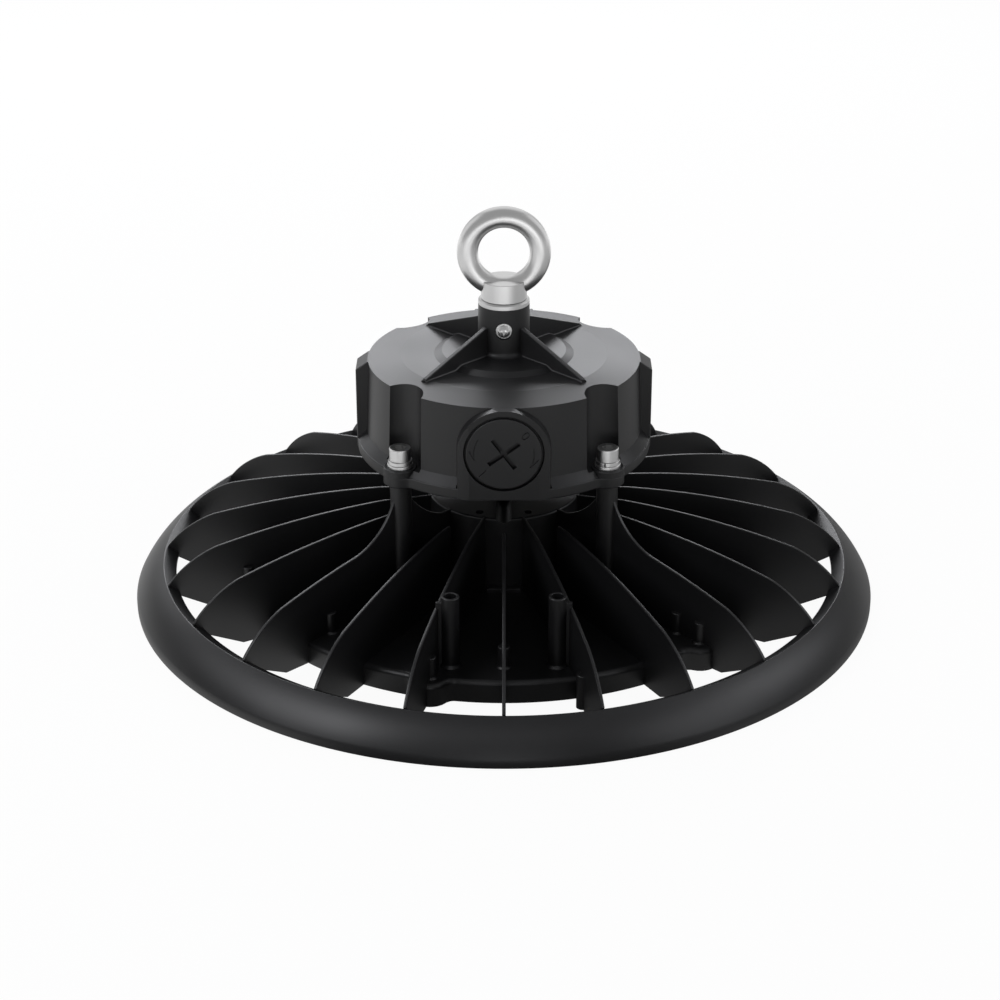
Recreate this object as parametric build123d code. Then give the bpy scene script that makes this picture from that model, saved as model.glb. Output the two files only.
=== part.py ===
from build123d import *
import os
from math import cos, radians, sin

# A round high bay light: finned die-cast heatsink, flared ring, driver box on four posts, lifting eye.
# Millimetres. Z is up, the ring stands on Z = 0, the access cap faces -Y. Angles run from +X.

# Ring round the fins
RING_R = 180.0            # outer rim, which the light stands on
RING_RIM_H = 3.0          # straight part of the rim
RING_RIM_WALL = 3.5
RING_FLARE = 13.8         # from the rim in to the ridge, where the fins meet the ring
RIDGE_Z = 18.2
LIP_W = 5.9               # from the ridge in to the lip
LIP_DROP = 3.4
LIP_H = 1.8
RING_BULGE = 1.0          # how far the flared face curves outwards
RIDGE_R = RING_R - RING_FLARE
LIP_R = RIDGE_R - LIP_W
LIP_Z = RIDGE_Z - LIP_DROP

# Base plate under the fins
PLATE_R = 127.8
PLATE_BOTTOM = 2.3
PLATE_T = 10.7
PLATE_ROUND = 2.5
POCKET_WALL = 3.8         # rim of the plate round the lens
LENS_POCKET_H = 3.7
LENS_LEDGE = 8.0          # seat of the lens gasket, round the pocket for the LED board
LED_POCKET_H = 3.5
PLATE_TOP = PLATE_BOTTOM + PLATE_T
LENS_POCKET_R = PLATE_R - POCKET_WALL
LED_POCKET_R = LENS_POCKET_R - LENS_LEDGE
LENS_SEAT_Z = PLATE_BOTTOM + LENS_POCKET_H
LED_POCKET_Z = LENS_SEAT_Z + LED_POCKET_H

# Screw bosses round the plate, each on a fin
BOSS_COUNT = 6
BOSS_INSET = 0.8          # their axes lie this far inside the plate's edge
BOSS_R = 8.6
BOSS_START_ANGLE = 15.0
BOSS_BLEND = 4.0
BOSS_PITCH_R = PLATE_R - BOSS_INSET

# Fins
FIN_COUNT = 24
FIN_T = 1.6
FIN_TOP = 50.0            # level part beside the hub
FIN_LEVEL_END = 60.0      # radius where the top edge starts to fall
FIN_FALL = 14.3           # from there down to the shoulder
FIN_FALL_MIDDLE = 5.1     # fall halfway to the shoulder
FIN_STEEP_W = 24.2        # the steep part between shoulder and ridge
FIN_STEEP_MIDDLE_R = 12.2
FIN_STEEP_MIDDLE_Z = 6.6
FIN_FOOT_W = 13.2         # the lower edge runs level this far past the plate
FIN_LAP = 1.0             # fins and posts start this deep in the plate
LIP_LAP = 2.0             # the fins reach this far into the ring
FIN_SHOULDER_R = RIDGE_R - FIN_STEEP_W
FIN_SHOULDER_Z = FIN_TOP - FIN_FALL
FIN_FOOT_R = PLATE_R + FIN_FOOT_W
CAST_ROOT_Z = PLATE_TOP - FIN_LAP

# Hub
HUB_R = 36.8
HUB_ROUND = 1.0
HUB_BORE = 14.0
HUB_LAP = 2.0             # the fins start this deep in the hub
CHANNEL_R = 4.1           # half-round wire channel across the hub's top
CHANNEL_DEPTH = 2.2
CLAMP_HOLE = 3.8
CLAMP_HOLE_DEPTH = 10.0
CLAMP_X = 11.5
CLAMP_INSET = 7.8         # holes for the wire clamp, this far inside the hub's edge
FOOT_W = 16.4             # small ledge at the hub's foot
FOOT_D = 3.9
FOOT_H = 2.0
SHORT_FIN_GAP = 14.2      # every second fin stops this far from the hub
SHORT_FIN_ROUND = 1.2
HUB_TOP = FIN_TOP
CLAMP_Y = CLAMP_INSET - HUB_R
SHORT_FIN_R = HUB_R + SHORT_FIN_GAP

# Driver box: a cast cover, open at the bottom
BOX_BOTTOM = 74.4
BOX_H = 43.8              # up to the lid's outer edge
SKIRT_R = 70.2
SKIRT_H = 5.1
SKIRT_SLOPE_W = 4.4       # the sloping top of the skirt
SKIRT_SLOPE_H = 3.9
WALL_TAPER = 1.3          # the wall leans in by this much up to the lid
LID_SLOPE_W = 15.4        # the lid slopes up from its edge, then is level
LID_SLOPE_H = 2.0
LID_T = 5.2
DISC_R = 33.1             # raised disc with a sloping edge
DISC_SLOPE_W = 3.7
DISC_H = 1.7
FLOOR_RIM = 7.2           # rim of the skirt round the floor plate
FLOOR_LEDGE = 4.0         # ledge that the floor gasket lies on
BOX_WALL = 3.0
PAD_FACE_IN = 1.8         # the flat faces of the cap's and the gland's pads lie this far inside the skirt
FLAT_WALL = 11.8          # wall behind those faces, level inside
INNER_FLAT_W = 38.0
SKIRT_TOP = BOX_BOTTOM + SKIRT_H
WALL_BOTTOM_R = SKIRT_R - SKIRT_SLOPE_W
WALL_BOTTOM_Z = SKIRT_TOP + SKIRT_SLOPE_H
LID_R = WALL_BOTTOM_R - WALL_TAPER
LID_EDGE_Z = BOX_BOTTOM + BOX_H
LID_FLAT_R = LID_R - LID_SLOPE_W
LID_Z = LID_EDGE_Z + LID_SLOPE_H
DISC_TOP_R = DISC_R - DISC_SLOPE_W
DISC_Z = LID_Z + DISC_H
CAVITY_TOP = LID_Z - LID_T
FLOOR_RECESS_R = SKIRT_R - FLOOR_RIM
CAVITY_R = FLOOR_RECESS_R - FLOOR_LEDGE
PAD_FACE_Y = PAD_FACE_IN - SKIRT_R
GLAND_PAD_Y = SKIRT_R - PAD_FACE_IN
INNER_FLAT_Y = GLAND_PAD_Y - FLAT_WALL

# Lugs and the scallops that give room to their screws
POST_ANGLES = (45, 135, 225, 315)
LUG_INSET = 2.4           # their axes lie this far inside the skirt
LUG_R = 7.9
LUG_H = 3.1               # above the skirt
LUG_STEP = 0.1            # the machined end is a little smaller than the cast foot
LUG_BLEND = 5.0
SCALLOP_R = 11.2
LUG_TOP = SKIRT_TOP + LUG_H
POST_PITCH_R = SKIRT_R - LUG_INSET

# Posts that carry the driver box, under its lugs
POST_R = 5.0
SWEEP_OUTER_W = 28.2      # fin edges sweep up the posts from this far outside their axes
SWEEP_INNER_GAP = 5.2     # and from this far outside the hub
SWEEP_BELOW_BOX = 7.4
SWEEP_FOOT_FALL = 4.3
SWEEP_OUTER_MIDDLE = (13.2, 13.1)    # outwards from the post's axis, and down from the sweep's top
SWEEP_INNER_MIDDLE = (14.8, 11.4)    # inwards from it, and down
SWEEP_LAP = 0.5
SWEEP_OUTER_R = POST_PITCH_R + SWEEP_OUTER_W
SWEEP_INNER_R = HUB_R + SWEEP_INNER_GAP
SWEEP_TOP = BOX_BOTTOM - SWEEP_BELOW_BOX

# Hollow accessory posts beside the two front fins
ACC_X = 23.9
ACC_INSET = 16.4          # their axes lie this far inside the plate's edge
ACC_R = 4.1
ACC_TOP = 47.7
ACC_ROUND = 0.6
ACC_HOLE = 5.6
ACC_HOLE_DEPTH = 18.0
ACC_WEB_T = 2.0
ACC_WEB_W = 2.5
ACC_WEB_DROP = 3.0
ACC_Y = ACC_INSET - PLATE_R

# Ejector stubs that the casting keeps on its fins
STUB_R = 2.8
STUB_H = 10.3
STUB_INSET = 14.8
EDGE_STUB_R = 3.0
EDGE_STUB_H = 6.0
EDGE_STUB_OUT = 7.7       # outside the plate's edge
EDGE_STUB_ANGLE = 285.0
STUB_PITCH_R = PLATE_R - STUB_INSET
STUB_TOP = PLATE_TOP + STUB_H
EDGE_STUB_PITCH_R = PLATE_R + EDGE_STUB_OUT
EDGE_STUB_TOP = PLATE_TOP + EDGE_STUB_H

# Stem that holds the lifting eye
STEM_R = 12.1
STEM_TAPER = 0.3
STEM_H = 23.4             # above the raised disc
STEM_FILLET = 2.5
STEM_LAP = 3.0            # the ribs start this deep in the stem
RIB_T = 2.4
RIB_DROP = 9.1            # below the stem's top
RIB_END_W = 2.7           # the ribs end this far out on the lid's slope
RIB_END_H = 1.0
RIB_ROOT = 2.0
STEM_FOOT_R = STEM_R + STEM_TAPER
STEM_TOP = DISC_Z + STEM_H
RIB_TOP_Z = STEM_TOP - RIB_DROP
RIB_END_R = LID_FLAT_R + RIB_END_W
RIB_END_Z = LID_Z + RIB_END_H

# Front pad with the access cap
PAD_RISE = 22.9           # centre of the cap above the box's underside
PAD_RIM = 2.5             # edge of the pad round the recess
PAD_DRAFT_ANGLE = 10.0
PAD_DEPTH = 14.0
CAP_RECESS_R = 18.4
CAP_CLEARANCE = 1.2
CAP_RIM_T = 1.3
CAP_RIM_CHAMFER = 0.4
CAP_NECK_R = 14.0
CAP_NECK_WALL = 3.0
CAP_FLOOR_T = 1.0         # the cap is hollow from this far behind the recess
CAP_FIT = 0.05            # radial running fit of the neck and of the seal
CAP_GAP = 0.3             # clearance along the cap's axis
CAP_TAB_H = 2.6           # bayonet tabs behind the wall, beyond the neck
CAP_TAB_W = 9.0
CAP_TAB_T = 2.0
CAP_SLOT_W = 1.7          # cross slot for a screwdriver or a coin
CAP_SLOT_L = 16.6
CAP_SLOT_D = 1.5
CAP_SLOT_ANGLE = 37.0
TAB_CLEARANCE = 0.4
O_RING_R = 1.0
O_RING_ROOM = 0.2
PAD_Z = BOX_BOTTOM + PAD_RISE
PAD_R = CAP_RECESS_R + PAD_RIM
CAP_R = CAP_RECESS_R - CAP_CLEARANCE
CAP_BACK_R = CAP_RECESS_R - 2 * O_RING_R - O_RING_ROOM
CAP_TAB_R = CAP_NECK_R + CAP_TAB_H
CAP_RECESS_D = CAP_RIM_T + 2 * (O_RING_R + CAP_FIT)
CAP_FLOOR_Y = PAD_FACE_Y + CAP_RECESS_D

# Narrow pads on both sides, and the gland pad at the back
PAD_ROOT_R = 50.0
SIDE_PAD_W = 15.0
SIDE_PAD_DROP = 4.0       # below the lid's edge
GLAND_PAD_W = 29.2
GLAND_PAD_DROP = 1.2
GLAND_PAD_ROOT = 0.6
SIDE_PAD_TOP = LID_EDGE_Z - SIDE_PAD_DROP
GLAND_PAD_TOP = LID_EDGE_Z - GLAND_PAD_DROP
GLAND_PAD_START_Y = INNER_FLAT_Y - GLAND_PAD_ROOT
GLAND_Z = PAD_Z

# Lifting eye bolt, M10
EYE_RING_R = 17.0
EYE_BAR_R = 5.0
EYE_LIFT = 0.4            # the eye's lowest point above the collar's seat
COLLAR_IN = 1.3           # the collar is this much smaller than the stem
COLLAR_TAPER = 1.3
COLLAR_STEP_H = 4.1       # straight part of the collar
COLLAR_H = 9.2
EYE_WASHER_T = 2.5
EYE_WASHER_CHAMFER = 0.8
EYE_SHANK_R = 5.0
EYE_SHANK_L = 22.0
EYE_BORE_GAP = 0.05
EYE_SEAT_Z = STEM_TOP + EYE_WASHER_T
EYE_Z = EYE_SEAT_Z + EYE_LIFT + EYE_RING_R + EYE_BAR_R
COLLAR_R = STEM_R - COLLAR_IN
COLLAR_TOP_R = COLLAR_R - COLLAR_TAPER
COLLAR_STEP_Z = EYE_SEAT_Z + COLLAR_STEP_H
COLLAR_TOP_Z = EYE_SEAT_Z + COLLAR_H

# Lock screw through the stem, M3
LOCK_DROP = 10.0          # below the stem's top
LOCK_FLAT_D = 0.7         # depth of its seat in the stem
LOCK_SEAT_GAP = 0.5
LOCK_WASHER_R = 3.8
LOCK_WASHER_T = 0.8
LOCK_HEAD_R = 2.9
LOCK_HEAD_T = 2.0
LOCK_HEAD_ROUND = 1.0
LOCK_SLOT_L = 3.4
LOCK_SLOT_W = 0.8
LOCK_SLOT_D = 1.1
LOCK_SHANK_R = 1.5
LOCK_Z = STEM_TOP - LOCK_DROP
LOCK_FLAT_Y = LOCK_FLAT_D - STEM_R

# Mounting screws, M6, with a spring washer and a flat washer
SCREW_HEAD_R = 5.0
SCREW_HEAD_H = 6.0
SCREW_SHANK_R = 3.0
SCREW_HOLE_GAP = 0.3
SCREW_L = 26.0
SCREW_KEY = 5.0
SCREW_KEY_D = 3.0
FLAT_WASHER_R = 6.0
FLAT_WASHER_T = 1.6
SPRING_WASHER_R = 5.6
SPRING_WASHER_T = 1.8
SPRING_GAP = 0.8
SPRING_GAP_ANGLE = -60.0
SCREW_HOLE_R = SCREW_SHANK_R + SCREW_HOLE_GAP
SCREW_SEAT_Z = LUG_TOP + FLAT_WASHER_T + SPRING_WASHER_T

# Floor of the driver box
FLOOR_T = 3.0
FLOOR_RECESS = 0.2        # the floor lies this far inside the box
FLOOR_GAP = 0.3
GASKET_T = 1.0
FLOOR_BOSS_R = 4.5
FLOOR_BOSS_IN = 7.0       # from the inside of the wall to the axes of the floor screws
FLOOR_BOSS_ANGLES = (-22.5, 22.5, 157.5, 202.5)
FLOOR_SCREW_R = 1.5
FLOOR_SCREW_L = 10.2
FLOOR_SCREW_HEAD_R = 2.9
FLOOR_SCREW_HEAD_T = 1.8
FLOOR_BOSS_PITCH_R = CAVITY_R - FLOOR_BOSS_IN
FLOOR_Z = BOX_BOTTOM + FLOOR_RECESS
FLOOR_TOP = FLOOR_Z + FLOOR_T
FLOOR_SEAT_Z = FLOOR_TOP + GASKET_T

# Output lead from the driver box down to the LED board
LEAD_R = 3.6
GROMMET_R = 6.0
GROMMET_LIP = 1.5
GROMMET_LIP_W = 2.0
HUB_GROMMET_H = 5.0

# LED side
PAD_FILM_T = 0.3
BOARD_T = 1.6
BOARD_GAP = 2.0
CHIP_SIZE = 3.0
CHIP_H = 0.7
CHIP_RINGS = (40.0, 68.0, 96.0)
CHIP_COUNTS = (12, 20, 28)
LED_SCREW_PITCH_R = 82.0
LED_SCREW_ANGLES = (0, 60, 120, 180, 240, 300)
LED_SCREW_COVER = 1.2     # metal left above the screws' ends
LED_SCREW_HEAD_T = 1.5
LENS_T = 2.3
LENS_GAP = 0.4
LENS_GASKET_T = 0.8
LENS_GASKET_GAP = 0.5
LENS_GASKET_IN = 2.0      # the gasket ends this far inside the lens
LENS_EAR_R = 6.0
LENS_SCREW_R = 1.5
LENS_SCREW_COVER = 1.1
LENS_SCREW_HEAD_R = 2.8
LENS_SCREW_HEAD_T = 1.9
BOARD_R = LED_POCKET_R - BOARD_GAP
LENS_TOP = LENS_SEAT_Z - LENS_GASKET_T
LENS_BOTTOM = LENS_TOP - LENS_T
LED_BOARD_TOP = LED_POCKET_Z - PAD_FILM_T
LED_BOARD_BOTTOM = LED_BOARD_TOP - BOARD_T
LED_SCREW_L = PLATE_TOP - LED_SCREW_COVER - LED_BOARD_BOTTOM
LENS_SCREW_L = PLATE_TOP - LENS_SCREW_COVER - LENS_BOTTOM

# Cable gland M20, and the breather plug beside it
GLAND_HEX = 24.0
GLAND_HEX_T = 5.0
GLAND_BARREL_R = 10.0
GLAND_THREAD_L = 8.0
GLAND_THREAD_IN = 2.5     # the clamp thread is this much smaller than the nut
GLAND_NUT_R = 12.0
GLAND_NUT_L = 14.0
GLAND_NUT_ROUND = 4.0
GLAND_NUT_FLAT = 0.8
GLAND_NUT_GAP = 0.3
GLAND_SEAL_R = 6.5
GLAND_SEAL_HOLE_R = 3.0
GLAND_SEAL_END = 1.0
GLAND_LOCKNUT_T = 4.0
GLAND_LOCKNUT_W = 2.0     # across flats, more than the hexagon
VENT_ANGLE = 66.0
VENT_R = 7.0
VENT_T = 4.5
VENT_CHAMFER = 1.0
VENT_NOTCH_R = 1.0
VENT_NOTCH_START = 1.5
VENT_SHANK_R = 4.0
VENT_SHANK_WALL = 1.8
VENT_SHANK_OUT = 3.0      # the shank reaches this far into the box
VENT_SEAT_IN = 5.8        # from the skirt's radius in to the spot face
VENT_SEAT_R = 8.0
GLAND_THREAD_R = GLAND_NUT_R - GLAND_THREAD_IN
VENT_Z = PAD_Z
VENT_SEAT = SKIRT_R - VENT_SEAT_IN
VENT_SHANK_END = CAVITY_R - VENT_SHANK_OUT

# Driver electronics
DRIVER_W = 76.0
DRIVER_D = 56.0
DRIVER_Y = 4.0
DRIVER_T = 1.6
DRIVER_LIFT = 5.9         # above the floor plate
BOARD_HOLE_IN_X = 5.0
BOARD_HOLE_IN_Y = 4.0
BOARD_SCREW_L = 6.0
SPACER_R = 3.0
BULK_CAP_R = 8.0
BULK_CAP_H = 25.0
BULK_CAP_X = -24.0
BULK_CAP_YS = (2.0, 20.0)
CORE_SIZE = 26.0
CORE_D = 14.0
CORE_H = 22.0
CORE_LEG = 8.0
CORE_YOKE = 3.5
CORE_X = -1.5
CORE_Y = 12.0
WINDING_D = 22.0
WINDING_GAP = 0.5
WINDING_ROUND = 3.0
CHOKE_R = 9.0
CHOKE_BAR_R = 3.2
CHOKE_GAP = 0.3           # between choke and transformer
CHOKE_Y = 14.0
TERMINAL_W = 28.0
TERMINAL_D = 11.0
TERMINAL_H = 13.0
TERMINAL_Y = -16.0
TERMINAL_PITCH = 9.0
TERMINAL_WIRE_R = 2.2
TERMINAL_WIRE_Z = 4.5
TERMINAL_SCREW_R = 2.4
TERMINAL_SCREW_Y = 1.5
TERMINAL_SCREW_D = 3.0
DRIVER_Z = FLOOR_TOP + DRIVER_LIFT
BOARD_TOP = DRIVER_Z + DRIVER_T
CHOKE_X = CORE_X + CORE_SIZE / 2 + CHOKE_GAP + CHOKE_R + CHOKE_BAR_R
BOARD_HOLE_X = DRIVER_W / 2 - BOARD_HOLE_IN_X
BOARD_HOLE_Y = DRIVER_D / 2 - BOARD_HOLE_IN_Y
BOARD_HOLES = [(x, DRIVER_Y + y) for x in (-BOARD_HOLE_X, BOARD_HOLE_X) for y in (-BOARD_HOLE_Y, BOARD_HOLE_Y)]


def spot(radius, angle, z=0.0):
    """Place on a circle round the light's axis."""
    return Pos(radius * cos(radians(angle)), radius * sin(radians(angle)), z)


def peg(radius, bottom, top):
    """Upright round bar between two heights."""
    return Pos(0, 0, bottom) * Cylinder(radius, top - bottom, align=(Align.CENTER, Align.CENTER, Align.MIN))


def bar_y(radius, start, end, z=0.0):
    """Round bar along Y between two places."""
    bar = Cylinder(radius, end - start, align=(Align.CENTER, Align.CENTER, Align.MIN))
    return Pos(0, start, z) * Rot(-90, 0, 0) * bar


def block(x0, x1, y0, y1, z0, z1):
    """Box given by its limits."""
    return Pos((x0 + x1) / 2, (y0 + y1) / 2, (z0 + z1) / 2) * Box(x1 - x0, y1 - y0, z1 - z0)


def turned(*corners):
    """Body turned about Z from corners given as radius and height."""
    outline = Polyline(*[(r, 0, z) for r, z in corners], close=True)
    return revolve(make_face(outline), Axis.Z)


def around(count, shape, start=0.0):
    """Copies of a shape spaced evenly about Z."""
    return [Rot(0, 0, start + i * 360.0 / count) * shape for i in range(count)]


def tube(outer, inner, bottom, top):
    """Upright washer or sleeve."""
    return peg(outer, bottom, top) - peg(inner, bottom - 1, top + 1)


def ring_body():
    """Flared ring with its inner lip."""
    rim_top = (RING_R, 0, RING_RIM_H)
    ridge = (RIDGE_R, 0, RIDGE_Z)
    middle = ((RING_R + RIDGE_R) / 2 + RING_BULGE, 0, (RING_RIM_H + RIDGE_Z) / 2 + RING_BULGE)
    corners = [ridge, (LIP_R, 0, LIP_Z), (LIP_R, 0, LIP_Z - LIP_H), (RING_R - RING_RIM_WALL, 0, 0),
               (RING_R, 0, 0), rim_top]
    outline = Curve() + [Polyline(*corners), ThreePointArc(rim_top, middle, ridge)]
    return revolve(make_face(outline), Axis.Z)


def boss_spots():
    """Places of the screw bosses round the plate."""
    return [spot(BOSS_PITCH_R, BOSS_START_ANGLE + i * 360 / BOSS_COUNT) for i in range(BOSS_COUNT)]


def plate_body():
    """Base plate with its screw bosses, rounded along the top edge."""
    plan = Circle(PLATE_R) + [s * Circle(BOSS_R) for s in boss_spots()]
    plan = fillet(plan.vertices(), BOSS_BLEND)
    plate = Pos(0, 0, PLATE_BOTTOM) * extrude(plan, PLATE_TOP - PLATE_BOTTOM)
    return fillet(plate.edges().group_by(Axis.Z)[-1], PLATE_ROUND)


def lens_side():
    """Everything that is cut from below: pockets, ear seats and blind screw holes."""
    cut = peg(LENS_POCKET_R, 0, LENS_SEAT_Z) + peg(LED_POCKET_R, 0, LED_POCKET_Z)
    cut += [s * peg(LENS_EAR_R + LENS_GAP, 0, LENS_SEAT_Z) for s in boss_spots()]
    cut += [s * peg(LENS_SCREW_R, 0, LENS_BOTTOM + LENS_SCREW_L) for s in boss_spots()]
    cut += [spot(LED_SCREW_PITCH_R, a) * peg(LENS_SCREW_R, 0, LED_BOARD_BOTTOM + LED_SCREW_L)
            for a in LED_SCREW_ANGLES]
    return cut


def fin_outline(inner_r, swept):
    """Closed outline of one fin in the XZ plane; a swept fin climbs the post on its way."""
    middle = (FIN_LEVEL_END + FIN_SHOULDER_R) / 2
    level_end = (FIN_LEVEL_END, 0, FIN_TOP)
    shoulder = (FIN_SHOULDER_R, 0, FIN_SHOULDER_Z)
    steep = (FIN_SHOULDER_R + FIN_STEEP_MIDDLE_R, 0, FIN_SHOULDER_Z - FIN_STEEP_MIDDLE_Z)
    ridge = (RIDGE_R - FIN_T / 2, 0, RIDGE_Z)
    fall = [ThreePointArc(level_end, (middle, 0, FIN_TOP - FIN_FALL_MIDDLE), shoulder),
            ThreePointArc(shoulder, steep, ridge)]
    inside_r = PLATE_R - FIN_LAP
    under = Polyline(ridge, (LIP_R + LIP_LAP, 0, LIP_Z - LIP_H), (FIN_FOOT_R, 0, PLATE_BOTTOM),
                     (inside_r, 0, PLATE_BOTTOM), (inside_r, 0, CAST_ROOT_Z), (inner_r, 0, CAST_ROOT_Z),
                     (inner_r, 0, FIN_TOP), level_end)
    fin = extrude(make_face(Curve() + fall + [under]), FIN_T / 2, both=True)
    if swept:
        fin += post_sweep(1, SWEEP_OUTER_R, FIN_TOP - SWEEP_FOOT_FALL, SWEEP_OUTER_MIDDLE)
        fin += post_sweep(-1, SWEEP_INNER_R, FIN_TOP, SWEEP_INNER_MIDDLE)
    return fin


def post_sweep(side, foot_r, foot_z, reach):
    """Curved web from a fin's top edge up to the post."""
    top = (POST_PITCH_R + side * (POST_R - SWEEP_LAP), 0, SWEEP_TOP)
    middle = (POST_PITCH_R + side * reach[0], 0, SWEEP_TOP - reach[1])
    web = Curve() + [ThreePointArc((foot_r, 0, foot_z), middle, top),
                     Polyline(top, (POST_PITCH_R, 0, SWEEP_TOP), (POST_PITCH_R, 0, PLATE_TOP),
                              (foot_r, 0, PLATE_TOP), (foot_r, 0, foot_z))]
    return extrude(make_face(web), FIN_T / 2, both=True)


def hub_body():
    """Centre column with the wire channel, clamp holes and foot ledge."""
    hub = peg(HUB_R, CAST_ROOT_Z, HUB_TOP)
    hub = fillet(hub.edges().group_by(Axis.Z)[-1], HUB_ROUND)
    hub += block(-FOOT_W / 2, FOOT_W / 2, -HUB_R - FOOT_D, -HUB_R + HUB_LAP, CAST_ROOT_Z, PLATE_TOP + FOOT_H)
    channel = bar_y(CHANNEL_R, -HUB_R - 1, 0, HUB_TOP + CHANNEL_R - CHANNEL_DEPTH)
    hub -= channel
    for x in (-CLAMP_X, CLAMP_X):
        hub -= Pos(x, CLAMP_Y, 0) * peg(CLAMP_HOLE / 2, HUB_TOP - CLAMP_HOLE_DEPTH, HUB_TOP + 1)
    return hub


def accessory_posts():
    """Two tall hollow posts, each webbed to the fin beside it."""
    posts = Part()
    for side in (-1, 1):
        post = peg(ACC_R, CAST_ROOT_Z, ACC_TOP)
        post = fillet(post.edges().group_by(Axis.Z)[-1], ACC_ROUND)
        web = block(0, ACC_R + ACC_WEB_W, -ACC_WEB_T / 2, ACC_WEB_T / 2, CAST_ROOT_Z, ACC_TOP - ACC_WEB_DROP)
        posts += Pos(side * ACC_X, ACC_Y, 0) * (post + Rot(0, 0, 0 if side > 0 else 180) * web)
    return posts


def heatsink():
    """The one-piece casting: ring, plate, hub, fins and posts."""
    pitch = 360.0 / FIN_COUNT
    short_fin = fin_outline(SHORT_FIN_R, False)
    short_fin = fillet(short_fin.edges().filter_by(Axis.Y).sort_by_distance((SHORT_FIN_R, 0, FIN_TOP))[0],
                       SHORT_FIN_ROUND)
    long_fin = fin_outline(HUB_R - HUB_LAP, False)
    post_fin = fin_outline(HUB_R - HUB_LAP, True)
    body = ring_body() + plate_body() + hub_body() + accessory_posts()
    fins = []
    for i in range(FIN_COUNT):
        angle = i * pitch
        shape = short_fin if i % 2 == 0 else post_fin if angle in POST_ANGLES else long_fin
        fins.append(Rot(0, 0, angle) * shape)
    stubs = [spot(STUB_PITCH_R, i * 45) * peg(STUB_R, CAST_ROOT_Z, STUB_TOP) for i in range(8)]
    stubs += [s * peg(STUB_R, CAST_ROOT_Z, STUB_TOP) for s in boss_spots()]
    stubs.append(spot(EDGE_STUB_PITCH_R, EDGE_STUB_ANGLE) * peg(EDGE_STUB_R, PLATE_BOTTOM, EDGE_STUB_TOP))
    posts = [spot(POST_PITCH_R, a) * peg(POST_R, CAST_ROOT_Z, BOX_BOTTOM) for a in POST_ANGLES]
    body += fins + stubs + posts
    body -= [spot(POST_PITCH_R, a) * peg(SCREW_SHANK_R, SCREW_SEAT_Z - SCREW_L - 1, BOX_BOTTOM + 1)
             for a in POST_ANGLES]
    for side in (-1, 1):
        body -= Pos(side * ACC_X, ACC_Y, 0) * peg(ACC_HOLE / 2, ACC_TOP - ACC_HOLE_DEPTH, ACC_TOP + 1)
    return body - peg(HUB_BORE / 2, PLATE_BOTTOM, HUB_TOP + 1) - lens_side()


def box_outline():
    """Outside of the driver box with its stem, without pads and lugs."""
    body = turned((0, BOX_BOTTOM), (SKIRT_R, BOX_BOTTOM), (SKIRT_R, SKIRT_TOP),
                  (WALL_BOTTOM_R, WALL_BOTTOM_Z), (LID_R, LID_EDGE_Z), (LID_FLAT_R, LID_Z), (DISC_R, LID_Z),
                  (DISC_TOP_R, DISC_Z), (STEM_FOOT_R, DISC_Z), (STEM_R, STEM_TOP), (0, STEM_TOP))
    foot = body.edges().filter_by(GeomType.CIRCLE).sort_by_distance((STEM_FOOT_R, 0, DISC_Z))[0]
    return fillet(foot, STEM_FILLET)


def front_pad():
    """Arched pad with drafted sides, flattened where the cap sits."""
    arch = Pos(0, PAD_Z) * Circle(PAD_R)
    leg = Pos(0, (PAD_Z + BOX_BOTTOM) / 2) * Rectangle(2 * PAD_R, PAD_Z - BOX_BOTTOM)
    pad = extrude(Plane.XZ.offset(SKIRT_R) * (arch + leg), -PAD_DEPTH, taper=-PAD_DRAFT_ANGLE)
    limit = turned((0, BOX_BOTTOM), (SKIRT_R, BOX_BOTTOM), (SKIRT_R, LID_EDGE_Z), (0, LID_EDGE_Z))
    return pad & limit


def side_pads():
    """Two narrow pads with sloping tops."""
    strip = turned((PAD_ROOT_R, BOX_BOTTOM), (SKIRT_R, BOX_BOTTOM), (SKIRT_R, SIDE_PAD_TOP),
                   (LID_R, LID_EDGE_Z), (PAD_ROOT_R, LID_EDGE_Z))
    return strip & block(-SKIRT_R, SKIRT_R, -SIDE_PAD_W / 2, SIDE_PAD_W / 2, BOX_BOTTOM, LID_EDGE_Z)


def lug_body():
    """Skirt outline with four lugs blended in, and the lugs' upper ends."""
    spots = [spot(POST_PITCH_R, a) for a in POST_ANGLES]
    plan = Circle(SKIRT_R) + [s * Circle(LUG_R) for s in spots]
    plan = fillet(plan.vertices(), LUG_BLEND)
    lugs = Pos(0, 0, BOX_BOTTOM) * extrude(plan, SKIRT_TOP - BOX_BOTTOM)
    return lugs + [s * peg(LUG_R - LUG_STEP, BOX_BOTTOM + 1, LUG_TOP) for s in spots]


def stem_ribs():
    """Four sloping ribs that brace the stem."""
    start_r = STEM_R - STEM_LAP
    root_z = LID_Z - RIB_ROOT
    rib = Polyline((start_r, 0, root_z), (RIB_END_R, 0, root_z), (RIB_END_R, 0, RIB_END_Z),
                   (STEM_R, 0, RIB_TOP_Z), (start_r, 0, RIB_TOP_Z), close=True)
    rib = extrude(make_face(rib), RIB_T / 2, both=True)
    return around(4, rib, 45)


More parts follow.
